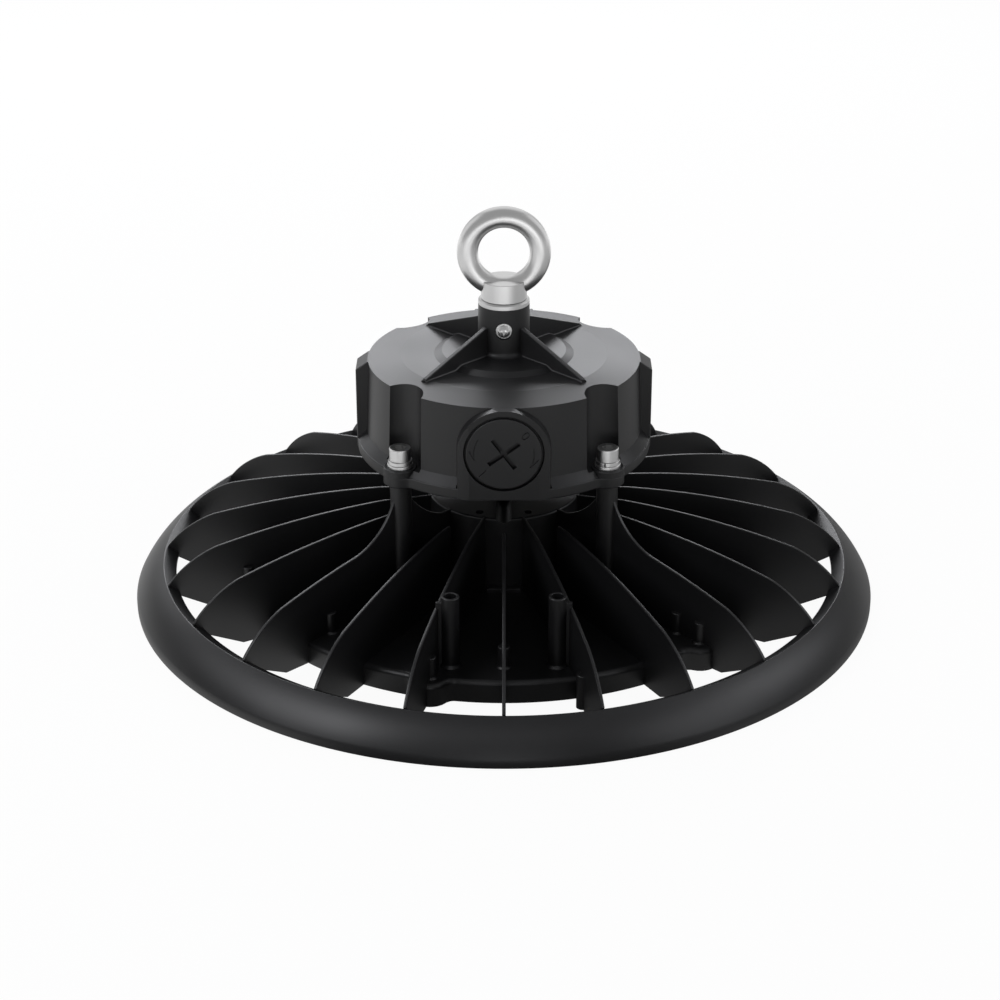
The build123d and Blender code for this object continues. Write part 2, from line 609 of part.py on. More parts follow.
def cap_bore():
    """Seat for the access cap: recess, bore and two slots for its tabs."""
    recess = bar_y(CAP_RECESS_R, PAD_FACE_Y - 5, CAP_FLOOR_Y)
    bore = bar_y(CAP_NECK_R + CAP_FIT, CAP_FLOOR_Y - 1, -INNER_FLAT_Y + 1)
    reach = CAP_TAB_R + TAB_CLEARANCE
    height = CAP_TAB_W / 2 + TAB_CLEARANCE
    slots = block(-reach, reach, CAP_FLOOR_Y - 1, -INNER_FLAT_Y + 1, -height, height)
    slots &= bar_y(reach, CAP_FLOOR_Y - 1, -INNER_FLAT_Y + 1)
    return Pos(0, 0, PAD_Z) * (recess + bore + slots)


def cavity():
    """Inside of the driver box, kept clear of scallops, lid screws and flats."""
    room = peg(CAVITY_R, BOX_BOTTOM - 1, CAVITY_TOP)
    room -= [spot(POST_PITCH_R, a) * peg(SCALLOP_R + BOX_WALL, 0, STEM_TOP) for a in POST_ANGLES]
    room -= [spot(FLOOR_BOSS_PITCH_R, a) * peg(FLOOR_BOSS_R, 0, STEM_TOP) for a in FLOOR_BOSS_ANGLES]
    half = INNER_FLAT_W / 2
    room -= block(-half, half, -SKIRT_R, -INNER_FLAT_Y, 0, STEM_TOP)
    room -= block(-half, half, INNER_FLAT_Y, SKIRT_R, 0, STEM_TOP)
    return room + peg(FLOOR_RECESS_R, BOX_BOTTOM - 1, FLOOR_SEAT_Z)


def driver_housing():
    """Cast cover of the driver box, open at the bottom."""
    body = box_outline() + front_pad() + side_pads() + lug_body() + stem_ribs()
    half = GLAND_PAD_W / 2
    body += block(-half, half, GLAND_PAD_START_Y, GLAND_PAD_Y, BOX_BOTTOM, GLAND_PAD_TOP)
    body -= block(-half, half, GLAND_PAD_START_Y, SKIRT_R + 5, GLAND_PAD_TOP, STEM_TOP)
    body -= block(-SKIRT_R, SKIRT_R, -SKIRT_R - 5, PAD_FACE_Y, BOX_BOTTOM - 1, STEM_TOP)
    body -= [spot(POST_PITCH_R, a) * peg(SCALLOP_R, LUG_TOP, STEM_TOP) for a in POST_ANGLES]
    body -= cavity()
    body -= cap_bore()
    body -= bar_y(GLAND_BARREL_R, INNER_FLAT_Y - 1, GLAND_PAD_Y + 1, GLAND_Z)
    body -= [spot(POST_PITCH_R, a) * peg(SCREW_HOLE_R, BOX_BOTTOM - 1, LUG_TOP + 1) for a in POST_ANGLES]
    floor_screw_end = FLOOR_Z + FLOOR_SCREW_HEAD_T + FLOOR_SCREW_L
    body -= [spot(FLOOR_BOSS_PITCH_R, a) * peg(FLOOR_SCREW_R, BOX_BOTTOM, floor_screw_end)
             for a in FLOOR_BOSS_ANGLES]
    body -= peg(EYE_SHANK_R + EYE_BORE_GAP, STEM_TOP - EYE_SHANK_L - 1, STEM_TOP + 1)
    body -= bar_y(LOCK_WASHER_R + LOCK_SEAT_GAP, -STEM_R - 5, LOCK_FLAT_Y, LOCK_Z)
    body -= bar_y(LOCK_SHANK_R, LOCK_FLAT_Y - 1, -EYE_SHANK_R, LOCK_Z)
    return body - vent_seat()


def vent_seat():
    """Spot face and hole for the breather plug."""
    face = Pos(VENT_SEAT, 0, VENT_Z) * Rot(0, 90, 0) * peg(VENT_SEAT_R, 0, 10)
    hole = Pos(VENT_SHANK_END, 0, VENT_Z) * Rot(0, 90, 0) * peg(VENT_SHANK_R, 0, 10)
    return Rot(0, 0, VENT_ANGLE) * (face + hole)


def breather_plug():
    """Round plug with a vented head and a short threaded shank."""
    head = peg(VENT_R, 0, VENT_T)
    head = chamfer(head.edges().group_by(Axis.Z)[-1], VENT_CHAMFER)
    head -= around(6, Pos(VENT_R, 0, 0) * peg(VENT_NOTCH_R, VENT_NOTCH_START, VENT_T + 1))
    shank = tube(VENT_SHANK_R, VENT_SHANK_R - VENT_SHANK_WALL, VENT_SHANK_END - VENT_SEAT, 0)
    return Rot(0, 0, VENT_ANGLE) * Pos(VENT_SEAT, 0, VENT_Z) * Rot(0, 90, 0) * (head + shank)


def access_cap():
    """Turning cap: rim, seal land, neck, two bayonet tabs and a cross slot."""
    neck_end = -INNER_FLAT_Y + CAP_GAP + CAP_TAB_T
    rim = bar_y(CAP_R, PAD_FACE_Y, PAD_FACE_Y + CAP_RIM_T)
    rim = chamfer(rim.edges().group_by(Axis.Y)[0], CAP_RIM_CHAMFER)
    cap = rim + bar_y(CAP_BACK_R, PAD_FACE_Y + CAP_RIM_T, CAP_FLOOR_Y - CAP_GAP)
    cap += bar_y(CAP_NECK_R, CAP_FLOOR_Y - CAP_GAP, neck_end)
    half = CAP_TAB_W / 2
    tabs = block(-half, half, -INNER_FLAT_Y + CAP_GAP, neck_end, -CAP_TAB_R, CAP_TAB_R)
    cap += tabs & bar_y(CAP_TAB_R, -INNER_FLAT_Y + CAP_GAP, neck_end)
    half_l = CAP_SLOT_L / 2
    half_w = CAP_SLOT_W / 2
    arm = block(-half_l, half_l, PAD_FACE_Y - 1, PAD_FACE_Y + CAP_SLOT_D, -half_w, half_w)
    cap -= [Rot(0, turn - CAP_SLOT_ANGLE, 0) * arm for turn in (0, 90)]
    cap -= bar_y(CAP_NECK_R - CAP_NECK_WALL, CAP_FLOOR_Y + CAP_FLOOR_T, neck_end + 1)
    return Pos(0, 0, PAD_Z) * cap


def cap_o_ring():
    """Seal behind the cap's rim."""
    pitch = CAP_RECESS_R - CAP_FIT - O_RING_R
    return Pos(0, CAP_FLOOR_Y - CAP_FIT - O_RING_R, PAD_Z) * Rot(90, 0, 0) * Torus(pitch, O_RING_R)


def eye_bolt():
    """Forged eye, conical collar and shank."""
    eye = Pos(0, 0, EYE_Z) * Rot(90, 0, 0) * Torus(EYE_RING_R, EYE_BAR_R)
    collar = turned((0, EYE_SEAT_Z), (COLLAR_R, EYE_SEAT_Z), (COLLAR_R, COLLAR_STEP_Z),
                    (COLLAR_TOP_R, COLLAR_TOP_Z), (0, COLLAR_TOP_Z))
    shank = peg(EYE_SHANK_R, STEM_TOP - EYE_SHANK_L, EYE_SEAT_Z)
    return eye + collar + shank


def eye_washer():
    """Washer between collar and stem, chamfered on top."""
    washer = peg(STEM_R, STEM_TOP, EYE_SEAT_Z)
    washer = chamfer(washer.edges().group_by(Axis.Z)[-1], EYE_WASHER_CHAMFER)
    return washer - peg(EYE_SHANK_R + EYE_BORE_GAP, STEM_TOP - 1, EYE_SEAT_Z + 1)


def lock_screw():
    """Pan-head screw that locks the eye bolt."""
    seat = LOCK_FLAT_Y - LOCK_WASHER_T
    head = bar_y(LOCK_HEAD_R, seat - LOCK_HEAD_T, seat, LOCK_Z)
    head = fillet(head.edges().group_by(Axis.Y)[0], LOCK_HEAD_ROUND)
    half_l = LOCK_SLOT_L / 2
    half_w = LOCK_SLOT_W / 2
    for turn in (0, 90):
        slot = block(-half_l, half_l, -LOCK_HEAD_T, LOCK_SLOT_D - LOCK_HEAD_T, -half_w, half_w)
        head -= Pos(0, seat, LOCK_Z) * Rot(0, turn, 0) * slot
    return head + bar_y(LOCK_SHANK_R, seat, -EYE_SHANK_R, LOCK_Z)


def lock_washer():
    """Small washer under the lock screw."""
    seat = LOCK_FLAT_Y - LOCK_WASHER_T
    washer = bar_y(LOCK_WASHER_R, seat, LOCK_FLAT_Y, LOCK_Z)
    return washer - bar_y(LOCK_SHANK_R, seat - 1, LOCK_FLAT_Y + 1, LOCK_Z)


def socket_screw():
    """Socket head cap screw, standing on Z = 0."""
    head = peg(SCREW_HEAD_R, 0, SCREW_HEAD_H)
    head = chamfer(head.edges().group_by(Axis.Z)[-1], 0.4)
    key = extrude(RegularPolygon(SCREW_KEY / 2, 6, major_radius=False), SCREW_KEY_D + 1)
    head -= Pos(0, 0, SCREW_HEAD_H - SCREW_KEY_D) * key
    return head + peg(SCREW_SHANK_R, -SCREW_L, 0)


def split_washer():
    """Spring washer with its gap."""
    washer = tube(SPRING_WASHER_R, SCREW_SHANK_R, 0, SPRING_WASHER_T)
    half = SPRING_GAP / 2
    gap = block(0, SPRING_WASHER_R + 1, -half, half, -1, SPRING_WASHER_T + 1)
    return washer - Rot(0, 0, SPRING_GAP_ANGLE) * gap


def on_lugs(shape, z):
    """Four copies over the lugs, kept as separate solids."""
    return Compound(children=[spot(POST_PITCH_R, a, z) * Rot(0, 0, a) * shape for a in POST_ANGLES])


def floor_plate():
    """Round plate that closes the driver box from below."""
    plate = peg(FLOOR_RECESS_R - FLOOR_GAP, FLOOR_Z, FLOOR_TOP)
    plate -= peg(GROMMET_R, FLOOR_Z - 1, FLOOR_TOP + 1)
    for angle in FLOOR_BOSS_ANGLES:
        place = spot(FLOOR_BOSS_PITCH_R, angle)
        plate -= place * peg(FLOOR_SCREW_R, FLOOR_Z - 1, FLOOR_TOP + 1)
        plate -= place * peg(FLOOR_SCREW_HEAD_R + FLOOR_GAP, FLOOR_Z - 1, FLOOR_Z + FLOOR_SCREW_HEAD_T)
    return plate


def floor_gasket():
    """Flat gasket between floor plate and box."""
    ring = peg(FLOOR_RECESS_R - FLOOR_GAP, FLOOR_TOP, FLOOR_SEAT_Z)
    ring -= cavity() & peg(CAVITY_R, FLOOR_TOP - 1, FLOOR_SEAT_Z + 1)
    return ring - [spot(FLOOR_BOSS_PITCH_R, a) * peg(FLOOR_SCREW_R, FLOOR_Z, FLOOR_SEAT_Z + 1)
                   for a in FLOOR_BOSS_ANGLES]


def pan_screw(head_r, head_t, shank_r, length):
    """Pan-head screw, its head below Z = 0 and its shank above."""
    head = peg(head_r, -head_t, 0)
    head = chamfer(head.edges().group_by(Axis.Z)[0], head_t * 0.4)
    head -= [Rot(0, 0, turn) * block(-head_r * 0.6, head_r * 0.6, -0.3, 0.3, -head_t, -head_t * 0.5)
             for turn in (0, 90)]
    return head + peg(shank_r, 0, length)


def grommet(outer_r, bottom, top, lip_r):
    """Rubber grommet in a plate, with a lip above it and a hole for the lead."""
    body = peg(outer_r, bottom, top) + peg(lip_r, top, top + GROMMET_LIP)
    return body - peg(LEAD_R, bottom - 1, top + GROMMET_LIP + 1)


def gland_body():
    """Gland body: barrel through the wall, hexagon and clamp thread."""
    hexagon = Rot(-90, 0, 0) * extrude(RegularPolygon(GLAND_HEX / 2, 6, major_radius=False), GLAND_HEX_T)
    body = Pos(0, GLAND_PAD_Y, 0) * hexagon
    body += bar_y(GLAND_BARREL_R, INNER_FLAT_Y - GLAND_LOCKNUT_T - 1, GLAND_PAD_Y)
    thread_end = GLAND_PAD_Y + GLAND_HEX_T + GLAND_THREAD_L
    body += bar_y(GLAND_THREAD_R, GLAND_PAD_Y, thread_end)
    return Pos(0, 0, GLAND_Z) * (body - bar_y(GLAND_SEAL_R, 0, thread_end + 1))


def gland_nut():
    """Domed clamp nut with six flats."""
    start = GLAND_PAD_Y + GLAND_HEX_T + GLAND_NUT_GAP
    end = start + GLAND_NUT_L
    nut = bar_y(GLAND_NUT_R, start, end)
    nut = fillet(nut.edges().group_by(Axis.Y)[-1], GLAND_NUT_ROUND)
    flats = extrude(RegularPolygon(GLAND_NUT_R - GLAND_NUT_FLAT, 6, major_radius=False), GLAND_NUT_L)
    nut &= Pos(0, start, 0) * Rot(-90, 0, 0) * flats
    nut -= bar_y(GLAND_THREAD_R, start - 1, start + GLAND_THREAD_L - GLAND_NUT_GAP)
    return Pos(0, 0, GLAND_Z) * (nut - bar_y(GLAND_SEAL_R, start - 1, end + 1))


def gland_seal():
    """Rubber seal that grips the supply cord."""
    start = GLAND_PAD_Y + GLAND_SEAL_END
    end = GLAND_PAD_Y + GLAND_HEX_T + GLAND_NUT_L - GLAND_SEAL_END
    return bar_y(GLAND_SEAL_R, start, end, GLAND_Z) - bar_y(GLAND_SEAL_HOLE_R, start - 1, end + 1, GLAND_Z)


def gland_locknut():
    """Thin nut on the gland inside the box."""
    nut = extrude(RegularPolygon((GLAND_HEX + GLAND_LOCKNUT_W) / 2, 6, major_radius=False), GLAND_LOCKNUT_T)
    nut -= peg(GLAND_BARREL_R, -1, GLAND_LOCKNUT_T + 1)
    return Pos(0, INNER_FLAT_Y - GLAND_LOCKNUT_T, GLAND_Z) * Rot(-90, 0, 0) * nut


def driver_board():
    """Circuit board of the driver."""
    board = Pos(0, DRIVER_Y, DRIVER_Z + DRIVER_T / 2) * Box(DRIVER_W, DRIVER_D, DRIVER_T)
    return board - [Pos(x, y, 0) * peg(FLOOR_SCREW_R, DRIVER_Z - 1, BOARD_TOP + 1) for x, y in BOARD_HOLES]


def transformer_core():
    """Two-window ferrite core, standing on the board."""
    half = CORE_SIZE / 2
    core = block(-half, half, -CORE_D / 2, CORE_D / 2, 0, CORE_H)
    window = block(CORE_LEG / 2, half - CORE_YOKE, -CORE_D, CORE_D, CORE_YOKE, CORE_H - CORE_YOKE)
    return core - [window, Rot(0, 0, 180) * window]


def transformer_winding():
    """Winding round the middle leg of the core."""
    inside = CORE_YOKE + WINDING_GAP
    half = CORE_SIZE / 2 - inside
    winding = block(-half, half, -WINDING_D / 2, WINDING_D / 2, inside, CORE_H - inside)
    winding = fillet(winding.edges().filter_by(Axis.Z), WINDING_ROUND)
    return winding - block(-CORE_LEG / 2, CORE_LEG / 2, -CORE_D / 2, CORE_D / 2, 0, CORE_H)


def terminal_block():
    """Three-way terminal block, wire entries towards the cap."""
    body = Pos(0, 0, TERMINAL_H / 2) * Box(TERMINAL_W, TERMINAL_D, TERMINAL_H)
    for i in (-1, 0, 1):
        wire_entry = bar_y(TERMINAL_WIRE_R, -TERMINAL_D, 1, TERMINAL_WIRE_Z)
        screw_hole = peg(TERMINAL_SCREW_R, TERMINAL_H - TERMINAL_SCREW_D, TERMINAL_H + 1)
        body -= Pos(i * TERMINAL_PITCH, 0, 0) * wire_entry
        body -= Pos(i * TERMINAL_PITCH, TERMINAL_SCREW_Y, 0) * screw_hole
    return body


def led_chips():
    """Rings of LEDs under the LED board, kept as separate solids."""
    chip = Pos(0, 0, LED_BOARD_BOTTOM - CHIP_H / 2) * Box(CHIP_SIZE, CHIP_SIZE, CHIP_H)
    chips = []
    for radius, count in zip(CHIP_RINGS, CHIP_COUNTS):
        chips += around(count, Pos(radius, 0, 0) * chip)
    return Compound(children=chips)


def led_board():
    """Aluminium LED board with its fixing holes."""
    board = peg(BOARD_R, LED_BOARD_BOTTOM, LED_BOARD_TOP)
    return board - [spot(LED_SCREW_PITCH_R, a) * peg(LENS_SCREW_R, 0, LED_POCKET_Z) for a in LED_SCREW_ANGLES]


def thermal_pad():
    """Thin heat-conducting film above the LED board, open round the lead."""
    film = tube(BOARD_R, HUB_BORE / 2, LED_BOARD_TOP, LED_POCKET_Z)
    return film - [spot(LED_SCREW_PITCH_R, a) * peg(LENS_SCREW_R, 0, PLATE_TOP) for a in LED_SCREW_ANGLES]


def lens_plate():
    """Clear cover over the LEDs with six ears for its screws."""
    plate = peg(LENS_POCKET_R - LENS_GAP, LENS_BOTTOM, LENS_TOP)
    plate += [s * peg(LENS_EAR_R, LENS_BOTTOM, LENS_TOP) for s in boss_spots()]
    return plate - [s * peg(LENS_SCREW_R, 0, LENS_TOP + 1) for s in boss_spots()]


def lens_gasket():
    """Flat silicone ring between lens and plate."""
    outer = LENS_POCKET_R - LENS_GAP - LENS_GASKET_IN
    return tube(outer, LED_POCKET_R + LENS_GASKET_GAP, LENS_TOP, LENS_SEAT_Z)


def save(name, shape):
    """Write one node as STEP."""
    export_step(shape, f"parts/{name}.step")


os.makedirs("parts", exist_ok=True)

save("heatsink", heatsink())
save("driver_housing", driver_housing())
save("access_cap", access_cap())
save("cap_o_ring", cap_o_ring())
save("eye_bolt", eye_bolt())
save("eye_washer", eye_washer())
save("lock_screw", lock_screw())
save("lock_washer", lock_washer())
save("mounting_screws", on_lugs(socket_screw(), SCREW_SEAT_Z))
save("spring_washers", on_lugs(split_washer(), LUG_TOP + FLAT_WASHER_T))
save("flat_washers", on_lugs(tube(FLAT_WASHER_R, SCREW_SHANK_R, 0, FLAT_WASHER_T), LUG_TOP))

save("floor_plate", floor_plate())
save("floor_gasket", floor_gasket())
floor_screw = pan_screw(FLOOR_SCREW_HEAD_R, FLOOR_SCREW_HEAD_T, FLOOR_SCREW_R, FLOOR_SCREW_L)
floor_screw_z = FLOOR_Z + FLOOR_SCREW_HEAD_T
save("floor_screws", Compound(children=[spot(FLOOR_BOSS_PITCH_R, a, floor_screw_z) * floor_screw
                                        for a in FLOOR_BOSS_ANGLES]))
save("gland_body", gland_body())
save("gland_nut", gland_nut())
save("gland_seal", gland_seal())
save("gland_locknut", gland_locknut())
save("breather_plug", breather_plug())

save("floor_grommet", grommet(GROMMET_R, FLOOR_Z, FLOOR_TOP, GROMMET_R + GROMMET_LIP_W))
save("hub_grommet", grommet(HUB_BORE / 2, HUB_TOP - HUB_GROMMET_H, HUB_TOP, HUB_BORE / 2 + GROMMET_LIP_W))
save("lead_sleeve", peg(LEAD_R, LED_BOARD_TOP, DRIVER_Z))

save("driver_board", driver_board())
save("board_spacers", Compound(children=[Pos(x, y, 0) * tube(SPACER_R, FLOOR_SCREW_R, FLOOR_TOP, DRIVER_Z)
                                         for x, y in BOARD_HOLES]))
board_screw = Rot(180, 0, 0) * pan_screw(FLOOR_SCREW_HEAD_R, FLOOR_SCREW_HEAD_T, FLOOR_SCREW_R, BOARD_SCREW_L)
save("board_screws", Compound(children=[Pos(x, y, BOARD_TOP) * board_screw for x, y in BOARD_HOLES]))
save("transformer_core", Pos(CORE_X, CORE_Y, BOARD_TOP) * transformer_core())
save("transformer_winding", Pos(CORE_X, CORE_Y, BOARD_TOP) * transformer_winding())
bulk_capacitor = peg(BULK_CAP_R, BOARD_TOP, BOARD_TOP + BULK_CAP_H)
save("bulk_capacitors", Compound(children=[Pos(BULK_CAP_X, y, 0) * bulk_capacitor for y in BULK_CAP_YS]))
save("choke", Pos(CHOKE_X, CHOKE_Y, BOARD_TOP + CHOKE_BAR_R) * Torus(CHOKE_R, CHOKE_BAR_R))
save("terminal_block", Pos(0, TERMINAL_Y, BOARD_TOP) * terminal_block())

save("thermal_pad", thermal_pad())
save("led_board", led_board())
save("led_chips", led_chips())
led_screw = pan_screw(LENS_SCREW_HEAD_R, LED_SCREW_HEAD_T, LENS_SCREW_R, LED_SCREW_L)
save("led_board_screws", Compound(children=[spot(LED_SCREW_PITCH_R, a, LED_BOARD_BOTTOM) * led_screw
                                            for a in LED_SCREW_ANGLES]))
save("lens_plate", lens_plate())
save("lens_gasket", lens_gasket())
lens_screw = pan_screw(LENS_SCREW_HEAD_R, LENS_SCREW_HEAD_T, LENS_SCREW_R, LENS_SCREW_L)
save("lens_screws", Compound(children=[s * Pos(0, 0, LENS_BOTTOM) * lens_screw for s in boss_spots()]))
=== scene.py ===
import math

import bmesh
import bpy
from bpy.props import FloatProperty, FloatVectorProperty, IntProperty, PointerProperty
from mathutils import Matrix, Vector


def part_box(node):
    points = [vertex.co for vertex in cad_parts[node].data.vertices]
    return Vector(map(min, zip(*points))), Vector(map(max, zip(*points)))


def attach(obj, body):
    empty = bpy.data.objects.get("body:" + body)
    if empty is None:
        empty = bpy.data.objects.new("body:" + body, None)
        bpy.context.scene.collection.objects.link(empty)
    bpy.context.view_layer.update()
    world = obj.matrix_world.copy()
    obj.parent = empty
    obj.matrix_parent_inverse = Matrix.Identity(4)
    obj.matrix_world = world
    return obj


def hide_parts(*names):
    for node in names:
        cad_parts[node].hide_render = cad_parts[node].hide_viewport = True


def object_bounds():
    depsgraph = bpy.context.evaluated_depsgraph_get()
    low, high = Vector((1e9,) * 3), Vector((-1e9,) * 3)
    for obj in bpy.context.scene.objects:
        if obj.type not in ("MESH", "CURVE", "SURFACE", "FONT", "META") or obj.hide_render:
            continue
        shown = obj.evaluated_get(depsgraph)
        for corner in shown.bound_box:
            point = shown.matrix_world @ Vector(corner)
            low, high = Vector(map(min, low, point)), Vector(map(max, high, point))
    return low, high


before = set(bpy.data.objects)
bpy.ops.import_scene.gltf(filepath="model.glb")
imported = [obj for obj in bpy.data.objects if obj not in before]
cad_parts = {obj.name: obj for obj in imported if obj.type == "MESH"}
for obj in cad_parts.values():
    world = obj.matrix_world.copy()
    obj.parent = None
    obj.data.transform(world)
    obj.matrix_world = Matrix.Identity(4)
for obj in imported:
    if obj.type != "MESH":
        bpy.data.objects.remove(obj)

bl_info = {
    "name": "High Bay Light",
    "version": (1, 0, 0),
    "blender": (4, 5, 0),
    "location": "View3D > Sidebar > High Bay",
    "description": "Models the visible pieces of a round high bay light and lights them in a plain studio",
    "category": "Add Mesh",
}

MM = 0.001
FIXTURE = "fixture"
CAP = "cap"
POST_TURNS = [math.radians(a) for a in (45, 135, 225, 315)]
LOCK_FACE = 11.4 * MM  # flat of the stem under the lock screw, from the axis
LOCK_Z = 135.3 * MM
DIGIT_SHARE = 0.73  # height of a digit in the size of its font
CAD_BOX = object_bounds()
RING_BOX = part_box("heatsink")
CAP_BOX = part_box("access_cap")
EYE_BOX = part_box("eye_bolt")


# Sizes and colours that a user would change

def length(name, description, value):
    """Length property that is shown in scene units."""
    return FloatProperty(name=name, description=description, default=value, min=0.0, unit="LENGTH")


def colour(name, description, code):
    """Colour property from an sRGB hex code."""
    return FloatVectorProperty(name=name, description=description, subtype="COLOR", size=4,
                               default=linear(code), min=0.0, max=1.0)


def linear(code):
    """Linear colour of an sRGB hex code such as 1C1D1E."""
    parts = [int(code[i:i + 2], 16) / 255 for i in (0, 2, 4)]
    return [c / 12.92 if c <= 0.04045 else ((c + 0.055) / 1.055) ** 2.4 for c in parts] + [1.0]


class HeatsinkSizes(bpy.types.PropertyGroup):
    """Sizes of the finned casting."""

    ring_r: length("Ring radius", "Outer rim of the flared ring", RING_BOX[1].x)
    rim_h: length("Rim height", "Straight part of the ring's rim", 3.0 * MM)
    rim_wall: length("Rim wall", "Thickness of the rim", 3.5 * MM)
    ridge_r: length("Ridge radius", "Highest line of the ring", 166.2 * MM)
    ridge_z: length("Ridge height", "Height of that line", 18.2 * MM)
    lip_r: length("Lip radius", "Inner lip of the ring", 160.3 * MM)
    lip_z: length("Lip height", "Height of the lip", 14.8 * MM)
    fin_count: IntProperty(name="Fins", description="Number of fins round the hub", default=24, min=4)
    fin_t: length("Fin thickness", "Thickness of one fin", 1.6 * MM)
    fin_top: length("Fin height", "Level part of the fins beside the hub", 50.0 * MM)
    short_fin_r: length("Short fin start", "Every second fin starts here", 51.0 * MM)
    plate_r: length("Plate radius", "Base plate under the fins", 127.8 * MM)
    plate_bottom: length("Plate underside", "Height of the plate's lower edge", 2.3 * MM)
    plate_top: length("Plate top", "Height of the plate's upper face", 13.0 * MM)
    plate_round: length("Plate rounding", "Rounding along the plate's upper edge", 2.5 * MM)
    boss_pitch_r: length("Boss pitch", "Radius on which the screw bosses stand", 127.0 * MM)
    boss_r: length("Boss radius", "Radius of one screw boss", 8.6 * MM)
    hub_r: length("Hub radius", "Centre column", 36.8 * MM)
    post_pitch_r: length("Post pitch", "Radius on which the four posts stand", 67.8 * MM)
    post_r: length("Post radius", "Radius of one post", 5.0 * MM)
    accessory_x: length("Accessory post spacing", "Distance of each hollow post from the middle", 23.9 * MM)
    accessory_y: length("Accessory post place", "Distance of the hollow posts in front of the hub", 111.4 * MM)
    accessory_top: length("Accessory post height", "Top of the hollow posts", 47.7 * MM)
    stub_r: length("Stub radius", "Radius of the small stubs on the fins", 2.8 * MM)
    stub_top: length("Stub height", "Top of the small stubs", 23.3 * MM)


class HousingSizes(bpy.types.PropertyGroup):
    """Sizes of the driver box."""

    bottom: length("Underside", "Lower edge of the box", 74.4 * MM)
    skirt_r: length("Skirt radius", "Flange round the lower edge", 70.2 * MM)
    skirt_top: length("Skirt height", "Top of the flange", 79.5 * MM)
    wall_r: length("Wall radius", "Wall above the flange", 65.8 * MM)
    wall_z: length("Wall start", "Height where the wall starts", 83.4 * MM)
    lid_r: length("Lid radius", "Outer edge of the lid", 64.5 * MM)
    lid_edge_z: length("Lid edge height", "Height of the lid's outer edge", 118.2 * MM)
    lid_flat_r: length("Level lid radius", "Inside this radius the lid is level", 49.1 * MM)
    lid_z: length("Lid height", "Height of the level lid", 120.2 * MM)
    disc_r: length("Disc radius", "Raised disc in the middle, at its foot", 33.1 * MM)
    disc_top_r: length("Disc top radius", "Raised disc at its top", 29.4 * MM)
    disc_z: length("Disc height", "Height of the raised disc", 121.9 * MM)
    lug_r: length("Lug radius", "Round lugs that take the screws", 7.9 * MM)
    lug_top: length("Lug height", "Top of the lugs", 82.6 * MM)
    scallop_r: length("Scallop radius", "Hollow over each lug", 11.2 * MM)
    stem_r: length("Stem radius", "Stem that holds the lifting eye", 12.1 * MM)
    stem_top: length("Stem height", "Top of the stem", 145.3 * MM)
    rib_t: length("Rib thickness", "Ribs that brace the stem", 2.4 * MM)
    rib_round: length("Rib rounding", "Rounding along the ribs' edges", 0.4 * MM)
    rib_fillet: length("Rib fillet", "Fillet along the ribs' feet", 0.8 * MM)
    pad_r: length("Pad radius", "Arched pad round the cap", 20.9 * MM)
    pad_z: length("Pad height", "Centre of the cap", 97.3 * MM)
    pad_round: length("Pad rounding", "Rounding along the arch", 0.5 * MM)
    pad_face_y: length("Pad face", "Distance of the pad's flat face from the middle", 68.4 * MM)
    recess_r: length("Recess radius", "Round recess for the cap", 18.4 * MM)
    recess_d: length("Recess depth", "Depth of that recess", 3.4 * MM)


class CapSizes(bpy.types.PropertyGroup):
    """Sizes of the turning access cap."""

    plug_r: length("Plug radius", "Part of the cap that goes into the bore", 16.2 * MM)
    flange_t: length("Flange thickness", "Flange that covers the bore", 1.3 * MM)
    thickness: length("Thickness", "Whole cap without its thread", 3.1 * MM)
    slot_w: length("Slot width", "Width of the cross slot", 2.15 * MM)
    slot_half: length("Slot reach", "From the middle to the end of each arm", 8.7 * MM)
    slot_depth: length("Slot depth", "Depth of the cross slot", 3.0 * MM)
    mark_w: length("Mark width", "Engraved lines of the arrows", 0.5 * MM)
    mark_depth: length("Mark depth", "Depth of the engraving", 0.6 * MM)
    mark_r: length("Mark radius", "Circle on which arrows and numerals lie", 13.7 * MM)
    numeral_h: length("Numeral height", "Height of the engraved numerals", 4.6 * MM)


class SteelSizes(bpy.types.PropertyGroup):
    """Sizes of the lifting eye and the screws."""

    eye_bar_r: length("Eye bar radius", "Round bar of the lifting eye", 5.0 * MM)
    eye_r: length("Eye radius", "Middle line of the lifting eye", 17.0 * MM)
    seat_z: length("Eye seat", "Height of the washer's top, on which the eye sits", 147.8 * MM)
    collar_r: length("Collar radius", "Foot of the eye", 10.8 * MM)
    neck_r: length("Neck radius", "Top of the round foot", 10.7 * MM)
    neck_h: length("Neck height", "Top of the foot above the seat", 9.2 * MM)
    head_r: length("Head radius", "Socket head screws", 5.0 * MM)
    head_h: length("Head height", "Socket head screws", 6.0 * MM)
    key_r: length("Key radius", "Corner radius of the hexagon socket", 2.9 * MM)
    washer_r: length("Washer radius", "Flat washers", 6.0 * MM)
    washer_t: length("Washer thickness", "Flat washers", 1.6 * MM)
    spring_r: length("Spring washer radius", "Spring washers", 5.6 * MM)
    spring_t: length("Spring washer thickness", "Spring washers", 1.8 * MM)
    bore_r: length("Washer bore", "Bore of both washers", 3.0 * MM)


